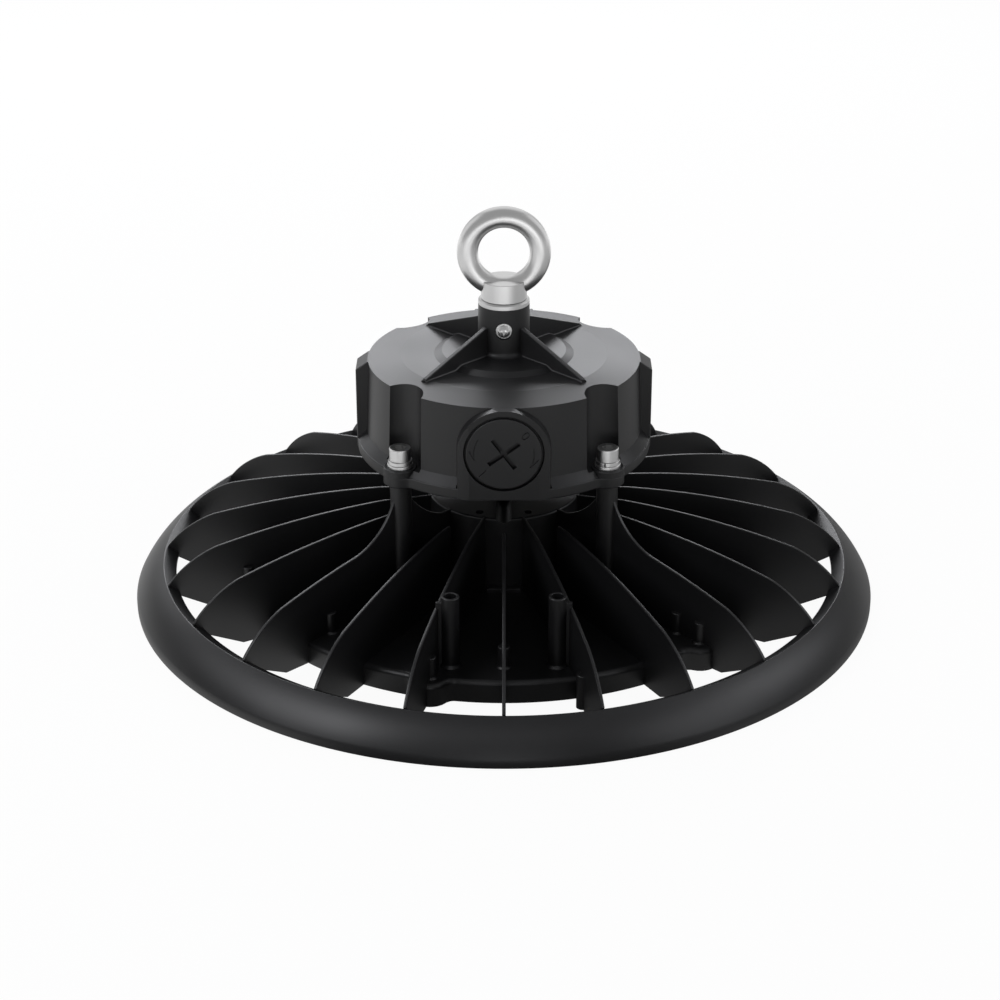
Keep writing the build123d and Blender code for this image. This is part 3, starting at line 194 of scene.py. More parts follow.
class Finishes(bpy.types.PropertyGroup):
    """Colours and gloss of the surfaces."""

    coat: colour("Powder coat", "Black powder coat on the castings", "101011")
    coat_gloss: FloatProperty(name="Coat roughness", description="Roughness of the powder coat",
                              default=0.42, min=0.0, max=1.0, subtype="FACTOR")
    steel: colour("Stainless steel", "Eye, screws and washers", "CDCDCD")
    steel_gloss: FloatProperty(name="Steel roughness", description="Roughness of the satin steel",
                               default=0.3, min=0.0, max=1.0, subtype="FACTOR")
    nylon: colour("Nylon", "Cap, gland and breather plug", "111112")
    nylon_gloss: FloatProperty(name="Nylon roughness", description="Roughness of the nylon",
                               default=0.5, min=0.0, max=1.0, subtype="FACTOR")
    rubber: colour("Rubber", "Seals and grommets", "141414")


class Studio(bpy.types.PropertyGroup):
    """Camera and lamps."""

    focal: FloatProperty(name="Focal length", description="Lens in millimetres", default=83.98, min=1.0)
    camera_back: length("Camera distance", "Distance of the camera in front of the light", 1032.945 * MM)
    camera_up: length("Camera height", "Height of the camera", 523.842 * MM)
    camera_tilt: FloatProperty(name="Camera tilt", description="Angle below level", default=0.435824,
                               subtype="ANGLE")
    frame_shift: FloatProperty(name="Frame shift", description="Sideways shift of the photograph's frame",
                               default=-0.0039)
    lamp_distance: length("Lamp distance", "From the middle of the light to each softbox", 1500.0 * MM)
    lamp_level: FloatProperty(name="Lamp level", description="Brightness of all softboxes together", default=1.0,
                              min=0.0)
    daylight: colour("Softbox colour", "Slightly cool light of the softboxes", "FAFBFF")
    backdrop: colour("Backdrop", "Floor and background as the camera sees them", "FFFFFF")


# Small modelling steps that several pieces share

def rest():
    """Leave edit mode and deselect everything."""
    if bpy.context.object and bpy.context.object.mode == "EDIT":
        bpy.ops.object.mode_set(mode="OBJECT")
    bpy.ops.object.select_all(action="DESELECT")


def pick(piece):
    """Make one piece the only selected one."""
    rest()
    bpy.context.view_layer.objects.active = piece
    piece.select_set(True)
    return piece


def edit(piece):
    """Open one piece in edit mode with everything selected."""
    pick(piece)
    bpy.ops.object.mode_set(mode="EDIT")
    bpy.ops.mesh.select_all(action="SELECT")


def name_new(name):
    """Name the primitive that was just added."""
    piece = bpy.context.object
    piece.name = name
    piece.data.name = name
    return piece


def wire(name, points):
    """Line drawn corner by corner from a plane that is merged to one point; it stays open in edit mode."""
    rest()
    bpy.ops.mesh.primitive_plane_add(size=MM)
    piece = name_new(name)
    bpy.ops.object.mode_set(mode="EDIT")
    bpy.ops.mesh.select_mode(type="VERT")
    bpy.ops.mesh.merge(type="CENTER")
    bpy.ops.transform.translate(value=points[0])
    for here, there in zip(points, points[1:]):
        bpy.ops.mesh.extrude_region_move(TRANSFORM_OT_translate={"value": there - here})
    bpy.ops.mesh.select_all(action="SELECT")
    return piece


def tidy_shell():
    """Merge doubles and turn the faces of the mesh in edit mode outwards."""
    bpy.ops.mesh.select_all(action="SELECT")
    bpy.ops.mesh.remove_doubles(threshold=0.002 * MM)
    bpy.ops.mesh.normals_make_consistent(inside=False)
    bpy.ops.object.mode_set(mode="OBJECT")


def lathe(name, corners, steps=96):
    """Piece spun about Z from corners given as radius and height."""
    piece = wire(name, [Vector((r, 0, z)) for r, z in corners])
    bpy.ops.mesh.spin(steps=steps, angle=math.tau, center=(0, 0, 0), axis=(0, 0, 1))
    tidy_shell()
    return piece


def slab(name, outline, thickness):
    """Plate with an outline in the XZ plane, extruded evenly about Y = 0."""
    piece = wire(name, [Vector((x, -thickness / 2, z)) for x, z in outline])
    bpy.ops.mesh.edge_face_add()
    bpy.ops.mesh.extrude_region_move(TRANSFORM_OT_translate={"value": (0, thickness, 0)})
    tidy_shell()
    return piece


def sweep(name, section, path):
    """Closed bar of one cross-section, extruded run by run along a path."""
    piece = wire(name, [path[0] + point for point in section])
    bpy.ops.mesh.edge_face_add()
    for here, there in zip(path, path[1:]):
        bpy.ops.mesh.extrude_region_move(TRANSFORM_OT_translate={"value": there - here})
    tidy_shell()
    return piece


def brick(name, low, high):
    """Block given by its limits, open in no edit mode."""
    rest()
    low, high = Vector(low), Vector(high)
    bpy.ops.mesh.primitive_cube_add(size=1, location=(low + high) / 2, scale=high - low)
    piece = name_new(name)
    bpy.ops.object.transform_apply(location=True, rotation=True, scale=True)
    return piece


def soften(piece, width, steps=2, angle=35):
    """Round the edges that are sharper than an angle."""
    pick(piece)
    bevel = piece.modifiers.new("Rounded edges", "BEVEL")
    bevel.width = width
    bevel.segments = steps
    bevel.limit_method = "ANGLE"
    bevel.angle_limit = math.radians(angle)
    bpy.ops.object.modifier_apply(modifier=bevel.name)
    return piece


def sharpen(piece, wanted):
    """Keep some edges as clear lines in the shading; wanted is asked with the two ends of each edge."""
    edit(piece)
    bpy.ops.mesh.select_all(action="DESELECT")
    for edge in bmesh.from_edit_mesh(piece.data).edges:
        edge.select = wanted(*[vertex.co for vertex in edge.verts])
    bpy.ops.mesh.mark_sharp()
    bpy.ops.object.mode_set(mode="OBJECT")
    return piece


def crisp(piece, radii, low):
    """Keep the rings of a lathed piece above a height as clear lines."""
    def ring(one, two):
        level = min(one.z, two.z) > low and abs(one.z - two.z) < 0.001 * MM
        return level and any(all(abs(end.xy.length - radius) < 0.2 * MM for end in (one, two)) for radius in radii)
    return sharpen(piece, ring)


def crisp_uprights(piece, reach, y):
    """Keep the upright edges of a flat face as clear lines."""
    def upright(one, two):
        beside = all(abs(end.y - y) < 0.02 * MM and abs(abs(end.x) - reach) < 0.5 * MM for end in (one, two))
        return beside and abs(one.x - two.x) < 0.2 * MM
    return sharpen(piece, upright)


def combine(piece, tool, operation="DIFFERENCE"):
    """Boolean of two closed pieces, a cut unless another is named; the tool is used up."""
    pick(piece)
    boolean = piece.modifiers.new("Cut", "BOOLEAN")
    boolean.operation = operation
    boolean.object = tool
    boolean.solver = "EXACT"
    bpy.ops.object.modifier_apply(modifier=boolean.name)
    bpy.data.objects.remove(tool)
    return piece


def place(piece, matrix):
    """Move the mesh itself, so that the object stays at the origin."""
    piece.data.transform(matrix)
    return piece


def join(name, parts):
    """Several pieces as one object."""
    rest()
    for part in parts:
        part.select_set(True)
    bpy.context.view_layer.objects.active = parts[0]
    if len(parts) > 1:
        bpy.ops.object.join()
    return name_new(name)


def repeat(name, piece, matrices):
    """Copies of one piece at several places, joined; the pattern is used up."""
    parts = []
    for matrix in matrices:
        part = piece.copy()
        part.data = piece.data.copy()
        bpy.context.scene.collection.objects.link(part)
        parts.append(place(part, matrix))
    bpy.data.objects.remove(piece)
    return join(name, parts)


def finish(piece, node, make, body=FIXTURE, angle=32):
    """Smooth the shading, give the finish and put the piece in a CAD node's place."""
    pick(piece)
    bpy.ops.object.shade_smooth_by_angle(angle=math.radians(angle))
    weighted = piece.modifiers.new("Even shading", "WEIGHTED_NORMAL")
    weighted.keep_sharp = True
    bpy.ops.object.modifier_apply(modifier=weighted.name)
    piece.data.materials.clear()
    piece.data.materials.append(material_of(make))
    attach(piece, body)
    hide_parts(node)
    return piece


def turn_z(angle):
    """Rotation about the light's axis."""
    return Matrix.Rotation(angle, 4, "Z")


def at(x, y, z=0.0):
    """Shift to a place."""
    return Matrix.Translation((x, y, z))


def on_circle(radius, angle, z=0.0):
    """Shift to a place on a circle round the light's axis."""
    return at(radius * math.cos(angle), radius * math.sin(angle), z)


def facing_front(y, z):
    """Turns a piece that was made standing on Z = 0 so that its top faces -Y at a given place."""
    return at(0, y, z) @ Matrix.Rotation(math.radians(90), 4, "X")


def arc(start, middle, end, steps):
    """Points on the round line through three corners."""
    (ax, ay), (bx, by), (cx, cy) = start, middle, end
    d = 2 * (ax * (by - cy) + bx * (cy - ay) + cx * (ay - by))
    a2, b2, c2 = ax * ax + ay * ay, bx * bx + by * by, cx * cx + cy * cy
    ox = (a2 * (by - cy) + b2 * (cy - ay) + c2 * (ay - by)) / d
    oy = (a2 * (cx - bx) + b2 * (ax - cx) + c2 * (bx - ax)) / d
    radius = math.hypot(ax - ox, ay - oy)
    first = math.atan2(ay - oy, ax - ox)
    half = (math.atan2(by - oy, bx - ox) - first) % math.tau
    sweep = (math.atan2(cy - oy, cx - ox) - first) % math.tau
    if half > sweep:
        sweep -= math.tau
    return [(ox + radius * math.cos(first + sweep * i / steps), oy + radius * math.sin(first + sweep * i / steps))
            for i in range(steps + 1)]


def round_corner(before, corner, after, radius, steps=4):
    """Points of a small rounding that replaces one corner of a profile."""
    corner = Vector(corner)
    back = (Vector(before) - corner).normalized()
    ahead = (Vector(after) - corner).normalized()
    half = back.angle(ahead) / 2
    reach = radius / math.tan(half)
    centre = corner + (back + ahead).normalized() * radius / math.sin(half)
    first = corner + back * reach - centre
    last = corner + ahead * reach - centre
    points = []
    for i in range(steps + 1):
        share = i / steps
        direction = first.lerp(last, share).normalized() * radius
        points.append(tuple(centre + direction))
    return points


def profile(corners, radii, steps=4):
    """Open profile whose inner corners are rounded where a radius is given."""
    points = [corners[0]]
    for i in range(1, len(corners) - 1):
        radius = radii.get(i)
        if radius:
            points += round_corner(corners[i - 1], corners[i], corners[i + 1], radius, steps)
        else:
            points.append(corners[i])
    return points + [corners[-1]]


def blended_radius(angle, base_r, disc_pitch, disc_r, blend, disc_angles):
    """Radius of a round outline with round bosses blended in, at one angle."""
    off = min(abs((angle - a + math.pi) % math.tau - math.pi) for a in disc_angles)
    blend_pitch = base_r + blend
    cosine = (blend_pitch ** 2 + disc_pitch ** 2 - (disc_r + blend) ** 2) / (2 * blend_pitch * disc_pitch)
    blend_off = math.acos(cosine)
    touch = Vector((blend_pitch * math.cos(blend_off) - disc_pitch, blend_pitch * math.sin(blend_off)))
    touch = touch * disc_r / (disc_r + blend)
    touch_off = math.atan2(touch.y, touch.x + disc_pitch)
    if off >= blend_off:
        return base_r
    if off <= touch_off:
        return disc_pitch * math.cos(off) + math.sqrt(disc_r ** 2 - (disc_pitch * math.sin(off)) ** 2)
    rest_off = blend_off - off
    return blend_pitch * math.cos(rest_off) - math.sqrt(blend ** 2 - (blend_pitch * math.sin(rest_off)) ** 2)


def bossed_plate(name, low, high, steps, *outline):
    """Flat plate whose outline has round bosses, extruded between two heights."""
    rest()
    bpy.ops.mesh.primitive_circle_add(vertices=steps, radius=1.0, fill_type="NGON", location=(0, 0, low))
    piece = name_new(name)
    bpy.ops.object.transform_apply(location=True, rotation=True, scale=True)
    for vertex in piece.data.vertices:
        angle = math.atan2(vertex.co.y, vertex.co.x)
        radius = blended_radius(angle, *outline)
        vertex.co.x = radius * math.cos(angle)
        vertex.co.y = radius * math.sin(angle)
    edit(piece)
    bpy.ops.mesh.extrude_region_move(TRANSFORM_OT_translate={"value": (0, 0, high - low)})
    tidy_shell()
    return piece


def drum(name, radius, low, high, steps=64):
    """Closed round bar about Z, a tool for cuts."""
    rest()
    bpy.ops.mesh.primitive_cylinder_add(vertices=steps, radius=radius, depth=high - low,
                                        location=(0, 0, (low + high) / 2))
    piece = name_new(name)
    bpy.ops.object.transform_apply(location=True, rotation=True, scale=True)
    return piece


# Materials, each named for what the real surface is

def add(nodes, kind, links=(), **settings):
    """Add a node with its settings; links are pairs of (socket name, source socket)."""
    node = nodes.new(kind)
    for key, value in settings.items():
        if hasattr(node, key):
            setattr(node, key, value)
        else:
            node.inputs[key.replace("_", " ")].default_value = value
    for socket, source in links:
        nodes.id_data.links.new(source, node.inputs[socket])
    return node


def surface(name, **settings):
    """Empty material with a Principled shader; returns the material, its nodes and the shader."""
    material = bpy.data.materials.new(name)
    material.use_nodes = True
    nodes = material.node_tree.nodes
    shader = nodes["Principled BSDF"]
    for key, value in settings.items():
        shader.inputs[key.replace("_", " ")].default_value = value
    return material, nodes, shader


def object_place(nodes, stretch=(1.0, 1.0, 1.0)):
    """Place on the piece in metres, stretched where a pattern runs one way."""
    place_in = add(nodes, "ShaderNodeTexCoord")
    turned = add(nodes, "ShaderNodeMapping", [("Vector", place_in.outputs["Object"])])
    turned.inputs["Scale"].default_value = stretch
    return turned.outputs["Vector"]


def noise(nodes, size, seed, stretch=(1.0, 1.0, 1.0)):
    """Irregular pattern with a given grain size in metres."""
    return add(nodes, "ShaderNodeTexNoise", [("Vector", object_place(nodes, stretch))], noise_dimensions="4D",
               Scale=1 / size, Detail=2.0, Roughness=0.55, W=seed).outputs["Fac"]


def ridges(nodes, pitch, axis):
    """Even ridges across one axis at a pitch in metres."""
    return add(nodes, "ShaderNodeTexWave", [("Vector", object_place(nodes))], bands_direction=axis,
               Scale=math.tau / 20 / pitch, Distortion=0.0).outputs["Fac"]


def raise_relief(nodes, shader, pattern, depth):
    """Bump that raises the surface where the pattern is light."""
    relief = add(nodes, "ShaderNodeBump", [("Height", pattern)], Strength=1.0, Distance=depth)
    nodes.id_data.links.new(relief.outputs["Normal"], shader.inputs["Normal"])


def between(nodes, shader, socket, pattern, low, high):
    """Let one value of the shader follow a pattern between two numbers."""
    spread = add(nodes, "ShaderNodeMapRange", [("Value", pattern)], clamp=True)
    for name, value in (("From Min", 0.3), ("From Max", 0.7), ("To Min", low), ("To Max", high)):
        spread.inputs[name].default_value = value
    nodes.id_data.links.new(spread.outputs["Result"], shader.inputs[socket])


def two_tone(nodes, shader, pattern, first, second):
    """Base colour that follows a pattern between two colours."""
    mix = add(nodes, "ShaderNodeMix", [("Factor", pattern)], data_type="RGBA")
    mix.inputs["A"].default_value = first
    mix.inputs["B"].default_value = second
    nodes.id_data.links.new(mix.outputs["Result"], shader.inputs["Base Color"])


def shade(base, factor):
    """A colour made darker or lighter."""
    return [c * factor for c in base[:3]] + [1.0]


def grain(nodes, shader, size, depth, base, gloss, seed, change):
    """Fine relief of one grain size, with a slow change of tone and gloss over the piece."""
    broad = noise(nodes, 60 * MM, seed + 7.0)
    raise_relief(nodes, shader, noise(nodes, size, seed), depth)
    between(nodes, shader, "Roughness", broad, gloss - 0.03, gloss + 0.04)
    two_tone(nodes, shader, broad, shade(base, 1 - change), shade(base, 1 + change))


def grained(name, size, depth, base, gloss, seed=0.0, change=0.12, **settings):
    """Material whose whole look is one grain."""
    material, nodes, shader = surface(name, **settings)
    grain(nodes, shader, size * MM, depth * MM, base, gloss, seed, change)
    return material


def powder_coat():
    """Satin black polyester powder on cast aluminium: the cured grain breaks highlights into fine speckles."""
    look = bpy.context.scene.high_bay_finish
    return grained("Black_powder_coat", 0.7, 0.02, look.coat, look.coat_gloss, IOR=1.5)


def satin_steel():
    """Bead-blasted stainless steel: soft bands of light with no sharp reflections."""
    look = bpy.context.scene.high_bay_finish
    return grained("Satin_stainless_steel", 0.35, 0.006, look.steel, look.steel_gloss, 3.0, 0.04, Metallic=1.0)


def moulded_nylon():
    """Glass-filled nylon: a spark-eroded mould leaves a dull, fine grain."""
    look = bpy.context.scene.high_bay_finish
    return grained("Moulded_black_nylon", 0.5, 0.012, look.nylon, look.nylon_gloss, 5.0, IOR=1.53)


def seal_rubber():
    """EPDM rubber: matt, slightly dusty."""
    return grained("Seal_rubber", 0.5, 0.01, bpy.context.scene.high_bay_finish.rubber, 0.75, 9.0, IOR=1.5)


def cast_silicone():
    """Grey silicone cord and gaskets: soft sheen with a smooth skin."""
    return grained("Grey_silicone", 1.2, 0.01, linear("9A9C9D"), 0.5, 11.0, 0.05, IOR=1.41)


def zinc_plating():
    """Bright zinc on steel screws: bluish, with the small spangle of passivated plating."""
    return grained("Zinc_plated_steel", 0.8, 0.004, linear("BFC5CC"), 0.3, 13.0, 0.08, Metallic=1.0)


def rolled_aluminium():
    """Bare aluminium sheet: fine lines run along the direction of rolling."""
    material, nodes, shader = surface("Rolled_aluminium", Metallic=1.0)
    lines = noise(nodes, 0.5 * MM, 17.0, (0.02, 1.0, 1.0))
    raise_relief(nodes, shader, lines, 0.004 * MM)
    between(nodes, shader, "Roughness", lines, 0.3, 0.42)
    two_tone(nodes, shader, lines, linear("C4C7CA"), linear("D8DADC"))
    return material


def solder_mask():
    """Green solder mask: glossy lacquer, with lighter green where copper tracks run under it."""
    material, nodes, shader = surface("Green_solder_mask", IOR=1.55, Roughness=0.28)
    tracks = add(nodes, "ShaderNodeTexBrick", [("Vector", object_place(nodes))], Scale=1 / (14 * MM), offset=0.37)
    for name, value in (("Mortar Size", 0.035), ("Mortar Smooth", 0.1), ("Brick Width", 0.9), ("Row Height", 0.3)):
        tracks.inputs[name].default_value = value
    two_tone(nodes, shader, tracks.outputs["Fac"], linear("0C4A28"), linear("2C7A4A"))
    raise_relief(nodes, shader, tracks.outputs["Fac"], 0.03 * MM)
    return material


def turned_brass():
    """Brass spacers: turned, with fine rings from the lathe."""
    material, nodes, shader = surface("Turned_brass", Metallic=1.0)
    rings = ridges(nodes, 0.4 * MM, "Z")
    raise_relief(nodes, shader, rings, 0.005 * MM)
    between(nodes, shader, "Roughness", rings, 0.2, 0.32)
    two_tone(nodes, shader, noise(nodes, 3 * MM, 19.0), linear("C9A659"), linear("D9BB74"))
    return material


def sintered_ferrite():
    """Ferrite core: dark, stony and dull, with tiny pores."""
    return grained("Sintered_ferrite", 0.4, 0.02, linear("2E2E31"), 0.55, 21.0, 0.15, IOR=1.9)


def polyester_tape():
    """Yellow polyester tape round the windings: glossy, with a line at each turn."""
    material, nodes, shader = surface("Yellow_polyester_tape", IOR=1.6)
    turns = ridges(nodes, 6 * MM, "Z")
    raise_relief(nodes, shader, turns, 0.06 * MM)
    between(nodes, shader, "Roughness", turns, 0.22, 0.35)
    two_tone(nodes, shader, turns, linear("C99A14"), linear("E3BC33"))
    return material


def shrunk_sleeve():
    """Heat-shrunk PET sleeve of the capacitors: dark blue gloss, drawn tight with faint ripples."""
    return grained("Dark_blue_sleeve", 2.5, 0.05, linear("16264A"), 0.24, 23.0, 0.1, IOR=1.57)


def wound_copper():
    """Enamelled copper wire, wound side by side: the colour is painted lighter along the raised top of each turn
    and darker in the grooves between turns, a painted highlight and painted shade that follow the relief.
    """
    material, nodes, shader = surface("Enamelled_copper_wire", Metallic=1.0)
    turns = ridges(nodes, 1.1 * MM, "Z")
    raise_relief(nodes, shader, turns, 0.3 * MM)
    between(nodes, shader, "Roughness", turns, 0.35, 0.22)
    # Painted highlight and painted shade: light copper on the top of each turn, dark copper in the grooves between
    # turns.
    two_tone(nodes, shader, turns, linear("6E2E12"), linear("C06A35"))
    return material


def moulded_terminal():
    """Grey polyamide of the terminal block: dull, with flow marks."""
    return grained("Grey_polyamide", 0.6, 0.01, linear("8A9095"), 0.48, 27.0, 0.06, IOR=1.53)


def woven_film():
    """Thermal pad: pale grey film with the weave of its glass cloth showing through."""
    material, nodes, shader = surface("Thermal_film", IOR=1.45)
    weave = add(nodes, "ShaderNodeMath", [(0, ridges(nodes, 0.9 * MM, "X")), (1, ridges(nodes, 0.9 * MM, "Y"))],
                operation="MULTIPLY").outputs[0]
    raise_relief(nodes, shader, weave, 0.05 * MM)
    between(nodes, shader, "Roughness", weave, 0.7, 0.55)
    two_tone(nodes, shader, weave, linear("9DA3A8"), linear("B4B9BD"))
    return material


def white_mask():
    """White solder mask of the LED board: bright, with broad copper areas faintly raised."""
    material, nodes, shader = surface("White_solder_mask", IOR=1.5)
    areas = add(nodes, "ShaderNodeTexVoronoi", [("Vector", object_place(nodes))], feature="DISTANCE_TO_EDGE",
                Scale=1 / (16 * MM)).outputs["Distance"]
    raise_relief(nodes, shader, areas, 0.05 * MM)
    between(nodes, shader, "Roughness", areas, 0.45, 0.35)
    two_tone(nodes, shader, areas, linear("DCDCD8"), linear("EEEEEA"))
    return material


def led_phosphor():
    """Yellow phosphor under clear silicone: slightly domed and uneven in colour."""
    return grained("LED_phosphor", 0.5, 0.03, linear("E8C54A"), 0.3, 31.0, 0.1, IOR=1.41)


def prismatic_lens():
    """Clear polycarbonate lens: small pillows in the inner face spread the light of each LED."""
    material, nodes, shader = surface("Clear_polycarbonate", IOR=1.585, Transmission_Weight=1.0)
    pillows = add(nodes, "ShaderNodeTexVoronoi", [("Vector", object_place(nodes))], feature="SMOOTH_F1",
                  Scale=1 / (9 * MM), Smoothness=0.4).outputs["Distance"]
    raise_relief(nodes, shader, pillows, 0.5 * MM)
    between(nodes, shader, "Roughness", pillows, 0.06, 0.14)
    two_tone(nodes, shader, pillows, linear("F4F6F7"), linear("FBFCFC"))
    return material


MATERIALS = {}


def material_of(make):
    """The material that a function makes, made once."""
    if make.__name__ not in MATERIALS:
        MATERIALS[make.__name__] = make()
    return MATERIALS[make.__name__]


# The finned casting

class RingOperator(bpy.types.Operator):
    """Flared ring with its inner lip"""

    bl_idname = "high_bay.ring"
    bl_label = "Flared ring"

    def execute(self, context):
        s = context.scene.high_bay_heatsink
        bulge = ((s.ring_r + s.ridge_r) / 2 + 1.0 * MM, (s.rim_h + s.ridge_z) / 2 + 1.0 * MM)
        flare = arc((s.ring_r, s.rim_h), bulge, (s.ridge_r, s.ridge_z), 10)
        ridge = round_corner(flare[-2], flare[-1], (s.lip_r, s.lip_z), 0.5 * MM)
        foot = [(s.lip_r, s.lip_z - 1.8 * MM), (s.ring_r - s.rim_wall, 0.0)]
        rim = round_corner(foot[-1], (s.ring_r, 0.0), flare[0], 0.4 * MM)
        lip = round_corner(ridge[-1], (s.lip_r, s.lip_z), foot[0], 0.3 * MM)
        outline = flare[:-1] + ridge + lip + foot + rim + [flare[0]]
        finish(lathe("cooling_ring", outline, 288), "heatsink", powder_coat)
        return {"FINISHED"}


def fin_top_line(s):
    """Top edge of a fin from the level part by the hub down to the ring."""
    level_end = (60.0 * MM, s.fin_top)
    shoulder = (142.0 * MM, 35.7 * MM)
    crown = arc(level_end, (101.0 * MM, s.fin_top - 5.1 * MM), shoulder, 14)
    drop = arc(shoulder, (154.2 * MM, 29.1 * MM), (s.ridge_r - s.fin_t / 2, s.ridge_z), 10)
    return crown + drop[1:]


def fin_foot_line(s, inner_r):
    """Lower edge of a fin from the ring to its inner end, just inside the plate."""
    inside = s.plate_top - 1.0 * MM
    return [(s.lip_r + 2.0 * MM, s.lip_z - 1.8 * MM), (141.0 * MM, s.plate_bottom),
            (s.plate_r - 1.0 * MM, s.plate_bottom), (s.plate_r - 1.0 * MM, inside), (inner_r, inside)]


class FinsOperator(bpy.types.Operator):
    """Fins: long ones that reach the hub, short ones between, and four that sweep up to the posts"""

    bl_idname = "high_bay.fins"
    bl_label = "Fins"

    def execute(self, context):
        s = context.scene.high_bay_heatsink
        pitch = math.tau / s.fin_count
        top = fin_top_line(s)
        short_end = round_corner((s.short_fin_r, s.plate_top), (s.short_fin_r, s.fin_top), top[0], 1.2 * MM)
        short_fin = short_end + top + fin_foot_line(s, s.short_fin_r)
        hub_inside = s.hub_r - 2.0 * MM
        long_fin = [(hub_inside, s.fin_top)] + top + fin_foot_line(s, hub_inside)
        outer_foot = (96.0 * MM, 45.75 * MM)
        beside, crest = 4.5 * MM, 67.0 * MM
        rise = arc((42.0 * MM, s.fin_top), (53.0 * MM, 55.6 * MM), (s.post_pitch_r - beside, crest), 10)
        fall = arc((s.post_pitch_r + beside, crest), (81.0 * MM, 53.9 * MM), outer_foot, 12)
        beyond = [p for p in top if p[0] > outer_foot[0] + 2.0 * MM]
        post_fin = [(hub_inside, s.fin_top)] + rise + fall + beyond + fin_foot_line(s, hub_inside)
        at_posts = s.fin_count // 8
        long_turns = [i * pitch for i in range(1, s.fin_count, 2) if i % (s.fin_count // 4) != at_posts]
        kinds = ((short_fin, [i * pitch for i in range(0, s.fin_count, 2)]), (post_fin, POST_TURNS),
                 (long_fin, long_turns))
        parts = []
        for outline, turns in kinds:
            fin = soften(slab("fin", outline, s.fin_t), 0.45 * MM, angle=50)
            parts.append(repeat("fins", fin, [turn_z(a) for a in turns]))
        finish(join("cooling_fins", parts), "heatsink", powder_coat)
        return {"FINISHED"}


class PlateOperator(bpy.types.Operator):
    """Base plate with its screw bosses, the lens pocket under it and the small stubs on it"""

    bl_idname = "high_bay.plate"
    bl_label = "Base plate"

    def execute(self, context):
        s = context.scene.high_bay_heatsink
        boss_turns = [math.radians(15 + 60 * i) for i in range(6)]
        plate = bossed_plate("base_plate", s.plate_bottom, s.plate_top, 540, s.plate_r, s.boss_pitch_r, s.boss_r,
                             4.0 * MM, boss_turns)
        edit(plate)
        bpy.ops.mesh.select_all(action="DESELECT")
        mesh = bmesh.from_edit_mesh(plate.data)
        bpy.ops.mesh.select_mode(type="FACE")
        for face in mesh.faces:
            face.select = face.normal.z > 0.9
        bmesh.update_edit_mesh(plate.data)
        bpy.ops.mesh.bevel(offset=s.plate_round, segments=5)
        tidy_shell()
        lens_low, lens_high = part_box("lens_plate")[0].z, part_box("lens_gasket")[1].z
        board_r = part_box("led_board")[1].x + 2.0 * MM
        lens_pocket_r, ear_pocket_r, board_top = 124.0 * MM, 6.4 * MM, 9.5 * MM
        combine(plate, drum("lens_pocket", lens_pocket_r, 0.0, lens_high, 240))
        combine(plate, drum("board_pocket", board_r, lens_low, board_top, 240))
        for turn in boss_turns:
            ear = place(drum("ear_pocket", ear_pocket_r, 0.0, lens_high, 32), on_circle(s.boss_pitch_r, turn))
            combine(plate, ear)
        sunk = s.plate_top - 0.2 * MM
        stub = lathe("stub", profile([(0.0, sunk), (s.stub_r + 1.0 * MM, sunk), (s.stub_r, s.plate_top + 0.8 * MM),
                                      (s.stub_r, s.stub_top), (0.0, s.stub_top)],
                                     {2: 1.0 * MM, 3: 0.5 * MM}), 32)
        spots = [on_circle(113.0 * MM, math.radians(45 * i)) for i in range(8)]
        spots += [on_circle(s.boss_pitch_r, turn) for turn in boss_turns]
        stubs = repeat("stubs", stub, spots)
        edge_r, edge_top = 3.0 * MM, 19.0 * MM
        edge_stub = lathe("edge_stub", profile([(0.0, s.plate_bottom), (edge_r, s.plate_bottom),
                                                (edge_r, edge_top), (0.0, edge_top)], {2: 0.5 * MM}), 32)
        place(edge_stub, on_circle(135.5 * MM, math.radians(285)))
        finish(join("base_plate", [plate, stubs, edge_stub]), "heatsink", powder_coat)
        return {"FINISHED"}


class HubOperator(bpy.types.Operator):
    """Centre column with its wire channel, and the four posts that carry the driver box"""

    bl_idname = "high_bay.hub"
    bl_label = "Hub and posts"

    def execute(self, context):
        s = context.scene.high_bay_heatsink
        floor = s.plate_top - 1.0 * MM
        bore = 7.0 * MM
        hub = lathe("hub", profile([(bore, floor), (s.hub_r, floor), (s.hub_r, s.fin_top), (bore, s.fin_top),
                                    (bore, floor)], {2: 1.0 * MM}), 144)
        channel_r = 4.1 * MM
        channel = drum("channel", channel_r, 0.0, s.hub_r + 2.0 * MM, 48)
        place(channel, at(0, 0, s.fin_top + channel_r - 2.2 * MM) @ Matrix.Rotation(math.radians(90), 4, "X"))
        combine(hub, channel)
        for side in (-1, 1):
            hole = drum("clamp_hole", 1.9 * MM, s.fin_top - 10.0 * MM, s.fin_top + MM, 32)
            combine(hub, place(hole, at(side * 11.5 * MM, -29.0 * MM)))
        ledge_half, ledge_top = 8.2 * MM, 15.0 * MM
        ledge = brick("ledge", (-ledge_half, -s.hub_r - 3.9 * MM, floor),
                      (ledge_half, -s.hub_r + 2 * MM, ledge_top))
        soften(ledge, 0.4 * MM)
        box_bottom = context.scene.high_bay_housing.bottom
        foot = 1.5 * MM
        post = lathe("post", profile([(0.0, floor), (s.post_r + foot, floor), (s.post_r + foot, s.plate_top),
                                      (s.post_r, s.plate_top + foot), (s.post_r, box_bottom),
                                      (0.0, box_bottom)], {3: foot, 4: 0.3 * MM}), 48)
        posts = repeat("posts", post, [on_circle(s.post_pitch_r, turn) for turn in POST_TURNS])
        finish(join("hub_and_posts", [hub, ledge, posts]), "heatsink", powder_coat)
        return {"FINISHED"}


